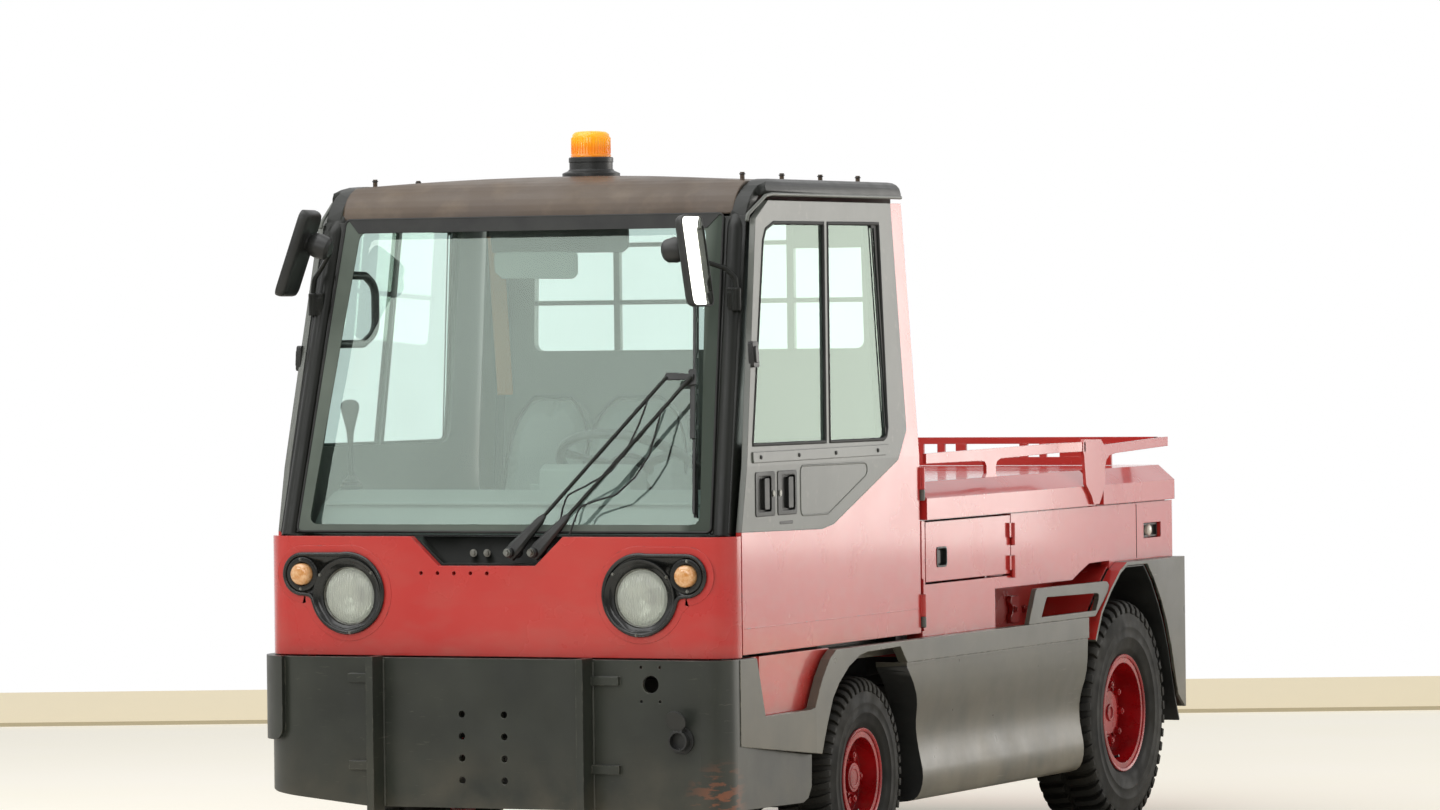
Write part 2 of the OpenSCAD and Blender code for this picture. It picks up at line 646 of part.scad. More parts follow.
// Hollow rear body: side panels with recesses, rear panel and wheel housings
wheel_house = aft([[-284, 558], [-242, 628], [-170, 687], [-93, 738], [-35, arch_z],
    [rear_overhang - 15, arch_z], [rear_overhang - 15, 300], [-420, 300], [-340, 500]]);
side_recess = aft([[-950, 575], [-950, 722], [-370, 722], [-308, 743], [-237, 764], [-80, 766],
    [-80, 700], [-240, 575]]);
module rear_body() {
    t = 25;
    inner = half_w - 140;
    house_in = half_w - 200;
    skin_front = deck_front - 10;   // with notches for the door hinges
    recess_front = rear_axle_y - 962;
    house_front = rear_axle_y - 120;
    house_back = body_len - 35;
    // height of the shell's underside above the rails' outer edge
    seat_top = flange_z - 2 + (deck_top - flange_z - 4) * (flange_x - 6 - half_w + 13) / 46 - 0.4;
    color(paint_red) placed() {
        for (s = [0, 1]) mirror([s, 0, 0]) difference() {
            side_plate([[skin_front, 560], [skin_front, hinge_zs[0] - 70],
                [deck_front, hinge_zs[0] - 70], [deck_front, hinge_zs[0] + 70],
                [skin_front, hinge_zs[0] + 70], [skin_front, side_top], [body_len, side_top],
                [body_len, 330], [house_back, 330], [house_back, 560]], half_w, t);
            side_plate(wheel_house, half_w + 1, t + 2);
            side_plate(side_recess, half_w + 1, t + 2);
            box([half_w - t + 5, body_len - 235, 820], [half_w + 1, body_len - 95, 864]);
            // doorway of the service door, on the left side only
            if (s == 0) box([half_w - t - 1, service_front - seam, service_low - seam],
                [half_w + 1, service_back + seam, side_top + 1]);
        }
        // inner walls of the side recesses, with their shelves
        both_sides() {
            side_plate(aft([[-962, 560], [-962, 790], [-120, 790], [-120, 700], [-300, 560]]), inner, 12);
            box([inner - 12, recess_front, 778], [half_w - t, house_front, 790]);
            box([inner - 12, recess_front, 560], [half_w - t, recess_front + 12, 790]);
            box([inner - 12, recess_front, 560], [half_w - t, rear_axle_y - 320, 572]);
            // wheel housing over the rear tyre
            box([house_in - 12, house_front, 778], [half_w - t, house_back, 790]);
            box([house_in - 12, house_front - 12, 560], [house_in, house_back, 790]);
            box([house_in - 12, house_front - 12, 700], [inner, house_front, 790]);
        }
        // rails that the battery cover and the rear deck rest on
        both_sides() for (y = [[deck_front + 10, cover_back - 8], [deck_split + 8, body_len - 24]])
            box([half_w - t, y[0], side_top], [half_w - 13, y[1], seat_top]);
        // lower halves of the service door's hinges
        for (z = service_hinge_zs) {
            box([half_w - 1, service_back + seam, z - 42],
                [service_hinge_x, service_back + 30, z - 20 - fit]);
            bar_z([service_hinge_x, service_back + 5, z - 31 - fit / 2], 6, 22 - fit);
        }
        // halves of the battery cover's hinges
        for (y = cover_hinge_ys) {
            box([-cover_hinge_x, y - 25, side_top - 34], [-half_w, y + 26 - fit, side_top]);
            bar_y([-cover_hinge_x, y + 0.5 - fit / 2, side_top], 8, 51 - fit);
        }
        // front and rear walls
        box([-half_w + 1, deck_front, 560], [half_w - 1, deck_front + 12, side_top]);
        box([-half_w + 1, body_len - t, 330], [half_w - 1, body_len, side_top]);
    }
}

// Low service door in the body side, hinged at its rear edge
module service_door() {
    color(paint_red) placed() {
        difference() {
            box([half_w - 20, service_front, service_low], [half_w, service_back, side_top - 4]);
            side_plate([[1355, 798], [1355, 851], [1425, 851], [1425, 798]], half_w + 1, 15);
        }
        for (z = service_hinge_zs) {
            bar_z([service_hinge_x, service_back + 5, z], 6, 40);
            box([half_w - 1, service_back - 20, z - 20], [service_hinge_x, service_back + 3, z + 20]);
        }
    }
}

// Shell with chamfered shoulders and open underside, from y0 to y1
module deck_shell(y0, y1, t) {
    outer = [[-flange_x, side_top + 3], [-flange_x, flange_z], [-flange_x + 50, deck_top],
        [flange_x - 50, deck_top], [flange_x, flange_z], [flange_x, side_top + 3]];
    inner = [[-flange_x + t, side_top + 2], [-flange_x + t, flange_z - 2], [-flange_x + 52, deck_top - t],
        [flange_x - 52, deck_top - t], [flange_x - t, flange_z - 2], [flange_x - t, side_top + 2]];
    difference() {
        front_plate(outer, y0, y1 - y0);
        front_plate(inner, y0 + t, y1 - y0 - 2 * t);
    }
}

module rear_deck() {
    color(paint_red) placed() deck_shell(deck_split, body_len - 8, 6);
}

// Battery cover, hinged along the right side of the body
module battery_cover() {
    color(paint_red) placed() {
        deck_shell(deck_front + 2, cover_back, 6);
        for (y = cover_hinge_ys) {
            box([-cover_hinge_x, y + 26, side_top], [-flange_x + 1, y + 66, side_top + 36]);
            bar_y([-cover_hinge_x, y + 46, side_top], 8, 40);
        }
    }
}

// Load rack on the battery cover: two side rails and a slotted cross rail
rack_x = half_w;       // outer face of the rails
rack_t = 10;
rack_foot = deck_top - (rack_x - rack_t - flange_x + 50) * (deck_top - flange_z) / 50 + fit;
rack_top = deck_top + 84;
rack_back = body_len - 49;
module load_rack() {
    front = cover_back - 795;   // front post
    arm = deck_front + 28;      // free front end of the rails
    rail = [[front, rack_foot], [front, rack_top - 34], [arm, rack_top - 34], [arm, rack_top - 8],
        [front, rack_top], [rack_back, rack_top], [rack_back, rack_top - 24],
        [cover_back + 130, rack_top - 34], [cover_back + 94, rack_top - 45],
        [cover_back, deck_top + 6], [cover_back, rack_foot]];
    hole_a = [[front + 75, deck_top], [front + 75, rack_top - 32], [cover_back - 92, rack_top - 32],
        [cover_back - 92, deck_top]];
    slots = [[-560, -300], [-256, -220], [-120, -64], [-41, -7], [25, 120], [220, 256], [300, 560]];
    color(paint_red) placed() {
        both_sides() difference() {
            side_plate(rail, rack_x, rack_t);
            side_plate(hole_a, rack_x + 1, rack_t + 2);
        }
        // tabs bolted to the cover's flanges
        both_sides() {
            box([rack_x - rack_t, cover_back - 80, deck_top + 4],
                [flange_x + fit + 8, cover_back, deck_top + 14]);
            box([flange_x + fit, cover_back - 80, side_top + 8],
                [flange_x + fit + 8, cover_back, deck_top + 14]);
        }
        difference() {
            box([-rack_x + 1, rack_back - 10, rack_top - 62], [rack_x - 1, rack_back, rack_top]);
            for (s = slots)
                box([s[0], rack_back - 20, rack_top - 50], [s[1], rack_back + 10, rack_top - 20]);
        }
    }
}

module rear_lamps() {
    color("#a01818") placed() both_sides() {
        box([half_w - 160, body_len + fit, 780], [half_w - 50, body_len + 22, 860]);
        bar_x([half_w - 20 + fit + 5, body_len - 165, 842], 17, 10);
    }
}

// Rear fenders: a bent strip over the tyre with a web behind it
module rear_fenders() {
    outer = aft([[-290, 550], [-242, 628], [-170, 687], [-93, 738], [-35, arch_z],
        [rear_overhang, arch_z], [rear_overhang, 320]]);
    lip = 10;
    color(trim_grey) placed() both_sides() {
        for (i = [0 : len(outer) - 3]) fender_strip(outer[i], outer[i + 1], lip);
        box([half_w + fit, body_len - lip, 320], [trim_x, body_len, arch_z]);
        side_plate(aft([[121, arch_z - 4], [180, 706], [240, 640], [280, 580], [320, 500], [342, 439],
            [372, 359], [428, 320], [rear_overhang, 320], [rear_overhang, arch_z - 4]]), trim_x, 8);
    }
}

module fender_strip(a, b, t) {
    d = b - a;
    n = [d[1], -d[0]] / norm(d) * t;
    side_plate([a, b, b + n, a + n], trim_x, trim_x - half_w - fit);
}

// Black liners in the rear wheel arches: inner wall, curved back and the flap it ends in
module wheel_liners() {
    t = 4;
    inner = half_w - 200 + fit;
    outer = trim_x - 8 - fit;
    high = aft([[-30, 748], [121, 748], [180, 698], [234, 634], [274, 575]]);
    low = aft([[274, 575], [314, 497], [336, 436], [366, 356], [384, 318], [402, 284]]);
    color(black) placed() both_sides() {
        side_plate(aft([[-116, 562], [-116, 777], [rear_overhang - 40, 777],
            [rear_overhang - 40, 562]]), inner + t, t);
        bent_sheet(high, outer, outer - inner, t);
        bent_sheet(low, outer, outer - half_w + 39, t);
    }
}

// Sheet across x that follows a line given as (y, z), with its thickness ahead of the line
module bent_sheet(line, x, width, t) {
    side_plate(concat(line, [for (i = [len(line) - 1 : -1 : 0]) line[i] - [t, t]]), x, width);
}

// Front arch trims, running board strips and the handle frames ahead of the rear wheels
module side_trims() {
    trim_t = trim_x - bumper_hw - fit - 4;
    x = bumper_hw + fit;
    arch_back = [[177, 467], [432, 469], [455, 473], [481, 514], [506, 549], [550, 592],
        [593, 615], [board_back, 615], [board_back, trim_low], [1066, trim_low], [1019, 602],
        [799, 599], [749, 593], [676, 568], [608, 527], [568, 490], [527, 419], [494, 352]];
    handle = aft([[-787, 616], [-737, 702], [-733, 708], [-725, 713], [-200, 712], [-182, 709],
        [-170, 700], [-180, 680], [-242, 640], [-280, 616]]);
    gap = aft([[-693, 632], [-657, 680], [-650, 686], [-262, 681], [-252, 676], [-250, 666], [-274, 632]]);
    // front ends, further back on the right where the bumper's corner is rounder
    fronts = [42, wing_front + 4 + fit];
    color(trim_grey) placed() for (s = [0, 1]) mirror([s, 0, 0]) {
        intersection() {
            side_plate(concat([[fronts[s], 398], [fronts[s], 616], [133, 616]], arch_back),
                trim_x - 4, trim_t);
            // flush with the bumper in front, flaring outwards behind it
            linear_extrude(700) polygon([[x, fronts[s]], [x + 1.5, fronts[s]], [trim_x - 4, 460],
                [trim_x - 4, board_back], [x, board_back]]);
        }
        difference() {
            side_plate(handle, trim_x - 4, 14);
            side_plate(gap, trim_x, 30);
        }
    }
}

// Folded side skirts between the wheels, closed at both ends
module side_skirts() {
    t = 8;
    x = trim_x - 6;
    top = trim_low - fit;
    back = board_back - 5;
    // outer face from the top down, given by how far it lies inside the running board and its height
    face = [for (p = [[0, top], [2, 500], [5, 467], [11, 440], [18, 418], [24, 396], [28, 372], [28.5, 345],
        [26.5, 318], [22, 290], [17.5, 266], [16, 244], [17.5, 224], [22, 206], [29, 192], [40, 183],
        [58, 178], [78, 176]]) [x - p[0], p[1]]];
    lining = [for (i = [len(face) - 1 : -1 : 0]) i > 14 ? face[i] + [i == 17 ? 0 : -4, t] : face[i] - [t, 0]];
    fill = concat(face, [[x - 90, 176], [x - 90, top]]);
    color(trim_grey) placed() both_sides() difference() {
        union() {
            front_plate(concat(face, lining), 1066, back - 1066);
            front_plate([[x - 40, top], [x, top], [x, top - t], [x - 40, top - t]], 1066, back - 1066);
            front_plate(fill, back - 10, 10);
            intersection() {
                front_plate(fill, 1066, 200);
                bar_x([x - 50, front_axle_y, front_axle_z], 358, 120);
            }
        }
        bar_x([x - 50, front_axle_y, front_axle_z], 346, 160);
    }
}

// Front axle beam with kingpin bosses, leaf springs and spring hangers
beam_low = 225;
beam_high = 285;
beam_mid = (beam_low + beam_high) / 2;
module front_axle() {
    spring_x = (rail_in + rail_out) / 2;
    arc_r = 760;
    color(black) placed() {
        difference() {
            union() {
                box([-kingpin_x + 10, front_axle_y - 28, beam_low],
                    [kingpin_x - 10, front_axle_y + 28, beam_high]);
                both_sides() bar_z([kingpin_x, front_axle_y, beam_mid], 34, beam_high - beam_low);
            }
            both_sides() bar_z([kingpin_x, front_axle_y, beam_mid], 16, 200);
        }
        both_sides() translate([spring_x - 28, front_axle_y, beam_high + arc_r])
            rotate([90, 0, 90]) linear_extrude(56) {
                spring_leaf(arc_r, 9, 160);
                spring_leaf(arc_r - 9, 9, 220);
                spring_leaf(arc_r - 18, 9, 290);
            }
        both_sides() for (s = [-1, 1])
            box([spring_x - 34, front_axle_y + s * 285 - 16, beam_high + 66],
                [spring_x + 34, front_axle_y + s * 285 + 16, rail_z - fit]);
    }
}

module spring_leaf(r, t, half_len) {
    intersection() {
        difference() {
            circle(r, $fn = 180);
            circle(r - t, $fn = 180);
        }
        translate([-half_len, -r - 1]) square([2 * half_len, r / 4]);
    }
}

// Steering knuckle: yoke round the beam's end, stub axle and steering arm
module knuckle() {
    lug_t = 18;
    gap = 1;
    arm_z = beam_low - gap - lug_t;
    color(anthracite) placed() {
        bar_z([kingpin_x, front_axle_y, beam_mid], 15.5, beam_high - beam_low + 2 * (gap + lug_t) + 16);
        for (z = [arm_z, beam_high + gap]) {
            translate([kingpin_x, front_axle_y, z]) cylinder(r = 34, h = lug_t);
            box([kingpin_x, front_axle_y - 30, z], [kingpin_x + 58, front_axle_y + 30, z + lug_t]);
        }
        box([kingpin_x + 42, front_axle_y - 30, arm_z],
            [kingpin_x + 58, front_axle_y + 30, beam_high + gap + lug_t]);
        bar_x([kingpin_x + 87, front_axle_y, front_axle_z], 20, 70);
        // steering arm and its ball pin
        box([kingpin_x - 15, front_axle_y, arm_z], [kingpin_x + 15, front_axle_y + steer_arm, arm_z + lug_t]);
        translate([kingpin_x, front_axle_y + steer_arm, arm_z]) cylinder(r = 15, h = lug_t);
        translate([kingpin_x, front_axle_y + steer_arm, arm_z - 36]) cylinder(r = 9, h = 40);
    }
}

module knuckle_left() { knuckle(); }
module knuckle_right() { mirror([1, 0, 0]) knuckle(); }

// Track rod between the two steering arms
module tie_rod() {
    z = beam_low - 40;
    y = front_axle_y + steer_arm;
    color(black) placed() difference() {
        union() {
            bar_x([0, y, z], 14, 2 * kingpin_x);
            both_sides() bar_z([kingpin_x, y, z], 18, 30);
        }
        both_sides() bar_z([kingpin_x, y, z], 9.6, 80);
    }
}

// Rear axle with its gear casing, drive motor and pads under the rails
module rear_axle() {
    drum_x = rear_tyre_out - 212;
    color(black) placed() {
        bar_x([0, rear_axle_y, rear_axle_z], 52, 2 * (drum_x - 32));
        bar_x([0, rear_axle_y, rear_axle_z], 120, 190);
        both_sides() {
            bar_x([drum_x, rear_axle_y, rear_axle_z], 108, 64);
            bar_x([drum_x + 48, rear_axle_y, rear_axle_z], 20, 140);
            box([rail_in, rear_axle_y - 50, rear_axle_z + 30], [rail_out, rear_axle_y + 50, rail_z - fit]);
        }
        bar_y([0, rear_axle_y - 240, rear_axle_z], 105, 340);
    }
}

module battery() {
    color("#5b5f60") placed()
        box([230 - half_w, deck_front + 138, rail_top + fit],
            [half_w - 230, cover_back - 180, side_top - 25]);
}

// Tow coupling: bolted plate with two jaws and guides for the pin
module tow_coupling() {
    color(black) placed() difference() {
        union() {
            box([-90, body_len + fit, coupling_z - 100], [90, body_len + 18, coupling_z + 100]);
            for (z = [-coupling_gap / 2 - 20, coupling_gap / 2])
                translate([0, 0, coupling_z + z]) linear_extrude(20) {
                    translate([-60, body_len + 10]) square([120, 42]);
                    translate([0, body_len + 50]) circle(50);
                }
            bar_z([0, body_len + 50, coupling_z + coupling_gap / 2 + 45], 26, 50);
        }
        bar_z([0, body_len + 50, coupling_z], pin_r + 0.5, 400);
    }
}

module coupling_pin() {
    low = coupling_z - coupling_gap / 2 - 24;
    color("#9a9c9c") placed() {
        translate([0, body_len + 50, low]) cylinder(r = pin_r, h = 200);
        bar_x([0, body_len + 50, low + 186], 9, 90);
    }
}

// Tyre with rounded shoulders; bead_w is the width between the rim's flanges
module tyre(d, w, bead_d, bead_w, out_x, y, z) {
    r = d / 2;
    b = bead_d / 2;
    h = w / 2;
    k = bead_w / 2;
    profile = [[b, -k], [b + 20, -k], [b + 36, -h + 5], [(b + r) / 2, -h], [r - 34, -h + 4],
        [r - 14, -h + 12], [r - 3, -h + 26], [r, 0], [r - 3, h - 26], [r - 14, h - 12],
        [r - 34, h - 4], [(b + r) / 2, h], [b + 36, h - 5], [b + 20, k], [b, k]];
    color("#1a1a1b") placed() translate([out_x - h, y, z]) rotate([0, 90, 0])
        rotate_extrude($fn = 96) polygon(profile);
}

// Steel rim: flanged barrel, dished disc, hub and wheel nuts; hub_in is where the hub starts
module rim(bead_d, bead_w, w, dish, hub_r, nuts, nut_r, out_x, y, z, hub_in) {
    b = bead_d / 2 - fit;
    k = bead_w / 2 + fit;
    disc = k - dish;
    profile = [[b, -k], [b + 15, -k], [b + 15, -k - 6], [b - 9, -k - 6], [b - 9, disc - 14],
        [hub_r, disc - 10], [hub_r, disc], [b - 9, disc - 4], [b - 9, k + 6], [b + 15, k + 6],
        [b + 15, k], [b, k]];
    color(rim_red) placed() translate([out_x - w / 2, y, z]) rotate([0, 90, 0]) {
        rotate_extrude($fn = 96) polygon(profile);
        for (i = [0 : nuts - 1]) rotate([0, 0, i * 360 / nuts])
            translate([nut_r, 0, disc - 6]) cylinder(r = 10, h = 20, $fn = 6);
        difference() {
            translate([0, 0, hub_in]) cylinder(r = hub_r + 2, h = disc + 26 - hub_in);
            translate([0, 0, hub_in - 1]) cylinder(r = 20.5, h = disc + 6 - hub_in);
        }
    }
}

module front_tyre() {
    tyre(front_tyre_d, front_tyre_w, 230, front_rim_w, front_tyre_out, front_axle_y, front_axle_z);
}
module rear_tyre() {
    tyre(rear_tyre_d, rear_tyre_w, 306, rear_rim_w, rear_tyre_out, rear_axle_y, rear_axle_z);
}
module front_rim() {
    rim(230, front_rim_w, front_tyre_w, 40, 36, 5, 60, front_tyre_out, front_axle_y, front_axle_z, -26);
}
module rear_rim() {
    rim(306, rear_rim_w, rear_tyre_w, 62, 60, 8, 88, rear_tyre_out, rear_axle_y, rear_axle_z, -22);
}
module tyre_front_left() { front_tyre(); }
module tyre_front_right() { mirror([1, 0, 0]) front_tyre(); }
module tyre_rear_left() { rear_tyre(); }
module tyre_rear_right() { mirror([1, 0, 0]) rear_tyre(); }
module rim_front_left() { front_rim(); }
module rim_front_right() { mirror([1, 0, 0]) front_rim(); }
module rim_rear_left() { rear_rim(); }
module rim_rear_right() { mirror([1, 0, 0]) rear_rim(); }

// Door outlines as (y, z) on the flat side before its upper part leans inwards
sash_low = [[door_front, 935], [588, 927], [666, 938], [1097, 1093], [1165, 1172]];
sash_line = concat(sash_low, [[1146, door_top], [347, door_top], [262, door_top - 47]]);
pane_line = [[157, 1150], [1007, 1146], [1030, 1154], [1042, 1178], [1061, door_top - 51],
    [372, door_top - 53], [318, door_top - 71], [296, door_top - 102]];
panel_line = concat([[door_front, sill_z], [door_back, sill_z], [door_back, belt_z], [1218, door_top],
    [1146, door_top]], [for (i = [len(sash_low) - 1 : -1 : 0]) sash_low[i]]);

// Outline of the upright bar between the two panes, widened by a gap on each side
function divider(z) = 630 + (z - 1150) * 0.119;
function divider_bar(gap) = let (low = 1140, high = door_top - 40)
    [[divider(low) - gap, low], [divider(low) + 16 + gap, low],
        [divider(high) + 16 + gap, high], [divider(high) - gap, high]];

// Section through a face of the cab side that lies a depth inside it: upright, then leaning inwards
function side_section(depth) = let (knee = [half_w - depth, belt_z - depth * tan(side_lean / 2)])
    [[knee[0], 0], knee, knee + 900 * [-sin(side_lean), cos(side_lean)]];

// Plate of the cab side that starts a depth inside its face, cut to an outline given as (y, z)
module folded_side(depth, t) {
    inner = side_section(depth + t);
    intersection() {
        front_plate(concat(side_section(depth), [inner[2], inner[1], inner[0]]), -100, 2000);
        rotate([90, 0, 90]) linear_extrude(half_w + 10) children();
    }
}

// Painted part of the door: lower panel and rear strip, with the hinge knuckles
module door_panel() {
    color(paint_red) placed() {
        folded_side(0, sash_t) polygon(panel_line);
        box([half_w - door_t, door_front, sill_z], [half_w - sash_t + 1, door_back - 2, 890]);
        for (z = hinge_zs) {
            bar_z([hinge_x, hinge_y, z], 7, 60);
            box([hinge_x - 8, hinge_y - 14, z - 30], [hinge_x, hinge_y, z + 30]);
        }
    }
}

// Grey window frame with its divider, bottom rail and handle pockets
module door_sash() {
    color(sash_grey) placed() difference() {
        folded_side(0, sash_t) difference() {
            polygon(sash_line);
            difference() {
                polygon(pane_line);
                polygon(divider_bar(0));
            }
        }
        for (y = [172, 310]) box([half_w - 11, y, 976], [half_w + 5, y + 112, 1080]);
    }
}

module door_pane() {
    color(glass_tint) placed() folded_side(6, glass_t) difference() {
        polygon(pane_line);
        polygon(divider_bar(fit));
    }
}

module door_left() { door_panel(); }
module door_right() { mirror([1, 0, 0]) door_panel(); }
module sash_left() { door_sash(); }
module sash_right() { mirror([1, 0, 0]) door_sash(); }
module door_glass_left() { door_pane(); }
module door_glass_right() { mirror([1, 0, 0]) door_pane(); }

chassis_frame();
front_bumper();
trailer_socket();
front_panel();
lamp_pods();
headlamps();
indicators();
cab_floor();
cab_frame();
roof();
windscreen();
rear_wall();
rear_window();
dashboard();
seat_cushions();
seat_frames();
steering_column();
cab_controls();
beacon_base();
beacon_lens();
mirror_arms();
mirror_heads();
wiper();
rear_body();
rear_deck();
rear_lamps();
rear_fenders();
wheel_liners();
side_trims();
side_skirts();
front_axle();
rear_axle();
battery();
tow_coupling();
coupling_pin();
battery_cover();
load_rack();
steering_wheel();
knuckle_left();
knuckle_right();
tie_rod();
tyre_front_left();
tyre_front_right();
tyre_rear_left();
tyre_rear_right();
rim_front_left();
rim_front_right();
rim_rear_left();
rim_rear_right();
door_left();
door_right();
sash_left();
sash_right();
door_glass_left();
door_glass_right();
service_door();
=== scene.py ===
import json
import math

import bmesh
import bpy
import numpy as np
from mathutils import Matrix, Vector


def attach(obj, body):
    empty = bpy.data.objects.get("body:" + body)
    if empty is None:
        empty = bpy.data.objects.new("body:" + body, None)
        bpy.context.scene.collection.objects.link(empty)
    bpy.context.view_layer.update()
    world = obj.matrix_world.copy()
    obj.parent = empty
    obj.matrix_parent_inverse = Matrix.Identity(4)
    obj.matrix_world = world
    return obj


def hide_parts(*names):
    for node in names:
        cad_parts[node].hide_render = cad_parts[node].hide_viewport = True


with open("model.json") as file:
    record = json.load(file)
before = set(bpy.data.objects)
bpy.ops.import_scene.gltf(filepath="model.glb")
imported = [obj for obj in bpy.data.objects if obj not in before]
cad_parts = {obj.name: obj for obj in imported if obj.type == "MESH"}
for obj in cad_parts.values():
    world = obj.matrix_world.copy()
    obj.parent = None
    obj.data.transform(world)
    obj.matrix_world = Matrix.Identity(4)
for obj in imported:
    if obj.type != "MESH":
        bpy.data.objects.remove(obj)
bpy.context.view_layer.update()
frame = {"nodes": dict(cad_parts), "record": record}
nodes = frame["nodes"]
panelY = 1575   # mm from the middle of the tug to its red front panel
halfWidth = 660
beltZ = 1100
sideLean = math.radians(3)
screenLean = math.radians(14.3)
print("frame loaded:", len(nodes), "parts")


# small helpers

def place(x, y, z):   # mm, with y counted back from the front panel
    return Vector((x, y - panelY, z)) / 1000


def sidePoint(y, z, x):
    return place(x, y, z)


def frontPoint(x, z, y):
    return place(x, y, z)


def screenPoint(x, s, depth):   # s runs up the leaning windscreen
    return place(x, 76 + depth * math.cos(screenLean) + s * math.sin(screenLean),
                 927 - depth * math.sin(screenLean) + s * math.cos(screenLean))


def cabSidePoint(y, z, depth):   # on the left cab side, which leans in above the belt
    return place(halfWidth - depth - max(0, z - beltZ) * math.tan(sideLean), y, z)


def mirrored(toPoint):   # the same place on the right side
    def other(*args):
        point = toPoint(*args)
        return Vector((-point.x, point.y, point.z))
    return other


def bothSides(toPoint):   # sign, name and place of each side
    return (1, "left", toPoint), (-1, "right", mirrored(toPoint))


def prism(bm, outline, low, high, toPoint):
    rings = [[bm.verts.new(toPoint(u, v, w)) for u, v in outline] for w in (low, high)]
    count = len(outline)
    for i in range(count):
        j = (i + 1) % count
        bm.faces.new((rings[0][i], rings[0][j], rings[1][j], rings[1][i]))
    bm.faces.new(rings[0][::-1])
    bm.faces.new(rings[1])


def block(bm, low, high, toPoint=place):
    corners = [toPoint(x, y, z) for z in (low[2], high[2]) for y in (low[1], high[1])
               for x in (low[0], high[0])]
    verts = [bm.verts.new(c) for c in corners]
    for face in ((0, 2, 3, 1), (4, 5, 7, 6), (0, 1, 5, 4), (2, 6, 7, 3), (0, 4, 6, 2), (1, 3, 7, 5)):
        bm.faces.new([verts[i] for i in face])


def loft(bm, rows):   # a closed skin over rows of places
    rows = [[bm.verts.new(p) for p in row] for row in rows]
    count = len(rows[0])
    for low, high in zip(rows, rows[1:]):
        for i in range(count):
            j = (i + 1) % count
            bm.faces.new((low[i], low[j], high[j], high[i]))
    bm.faces.new(rows[0])
    bm.faces.new(rows[-1])


def frameRing(bm, outer, inner, low, high, toPoint):   # a closed frame between two outlines
    rings = [[bm.verts.new(toPoint(u, v, w)) for u, v in line]
             for line, w in ((outer, low), (outer, high), (inner, high), (inner, low))]
    count = len(outer)
    for a in range(4):
        b = (a + 1) % 4
        for i in range(count):
            j = (i + 1) % count
            bm.faces.new((rings[a][i], rings[a][j], rings[b][j], rings[b][i]))


def lathe(bm, profile, segments, toPoint):   # profile of (radius, height); a closed loop or pole to pole
    rings = []
    for radius, height in profile:
        if radius < 1e-6:
            rings.append([bm.verts.new(toPoint(0, 0, height))] * segments)
        else:
            rings.append([bm.verts.new(toPoint(radius * math.cos(2 * math.pi * i / segments),
                                               radius * math.sin(2 * math.pi * i / segments), height))
                          for i in range(segments)])
    closed = profile[0][0] > 1e-6
    for a in range(len(rings) if closed else len(rings) - 1):
        b = (a + 1) % len(rings)
        for i in range(segments):
            j = (i + 1) % segments
            corners = []
            for vert in (rings[a][i], rings[a][j], rings[b][j], rings[b][i]):
                if vert not in corners:
                    corners.append(vert)
            if len(corners) > 2:
                bm.faces.new(corners)


def roundCorners(points, radius, steps=6):   # each corner becomes an arc of steps + 1 points
    made = []
    for i, corner in enumerate(points):
        here = Vector(corner)
        before = Vector(points[i - 1]) - here
        after = Vector(points[(i + 1) % len(points)]) - here
        angle = before.angle(after)
        reach = min(radius / math.tan(angle / 2), before.length * 0.48, after.length * 0.48)
        start, end = here + before.normalized() * reach, here + after.normalized() * reach
        for k in range(steps + 1):
            t = k / steps
            made.append(tuple(start * (1 - t) ** 2 + here * 2 * t * (1 - t) + end * t * t))
    return made


def box(u0, v0, u1, v1):
    return [(u0, v0), (u1, v0), (u1, v1), (u0, v1)]


def roundedBox(u0, v0, u1, v1, radius, steps=4):
    return roundCorners(box(u0, v0, u1, v1), radius, steps)


def inset(points, distance):   # moves each edge of a convex outline inwards
    area = sum(points[i - 1][0] * p[1] - p[0] * points[i - 1][1] for i, p in enumerate(points))
    turn = 1 if area > 0 else -1
    lines = []
    for i, p in enumerate(points):
        q = points[(i + 1) % len(points)]
        along = (Vector(q) - Vector(p)).normalized()
        normal = Vector((-along.y, along.x)) * turn
        lines.append((Vector(p) + normal * distance, along))
    made = []
    for i in range(len(points)):
        (p, a), (q, b) = lines[i - 1], lines[i]
        cross = a.x * b.y - a.y * b.x
        t = ((q.x - p.x) * b.y - (q.y - p.y) * b.x) / cross
        made.append(tuple(p + a * t))
    return made


def addObject(name, data):
    obj = bpy.data.objects.new(name, data)
    bpy.context.scene.collection.objects.link(obj)
    return obj


def evaluated(obj):   # a plain mesh of the object with its modifiers
    return bpy.data.meshes.new_from_object(obj.evaluated_get(bpy.context.evaluated_depsgraph_get()))


def shadeRound(mesh, angle):   # smooth, but for edges sharper than the angle
    mesh.polygons.foreach_set("use_smooth", [True] * len(mesh.polygons))
    mesh.set_sharp_from_angle(angle=math.radians(angle))


def makeObject(bm, name, angle=32):
    bmesh.ops.recalc_face_normals(bm, faces=bm.faces)
    mesh = bpy.data.meshes.new(name)
    bm.to_mesh(mesh)
    bm.free()
    shadeRound(mesh, angle)
    return addObject(name, mesh)


def soften(obj, width, segments=2):   # small rounded edges, in mm
    bevel = obj.modifiers.new("edges", "BEVEL")
    bevel.width = width / 1000
    bevel.segments = segments
    bevel.limit_method = "ANGLE"
    bevel.angle_limit = math.radians(30)
    bevel.harden_normals = True
    return obj


# geometry node trees

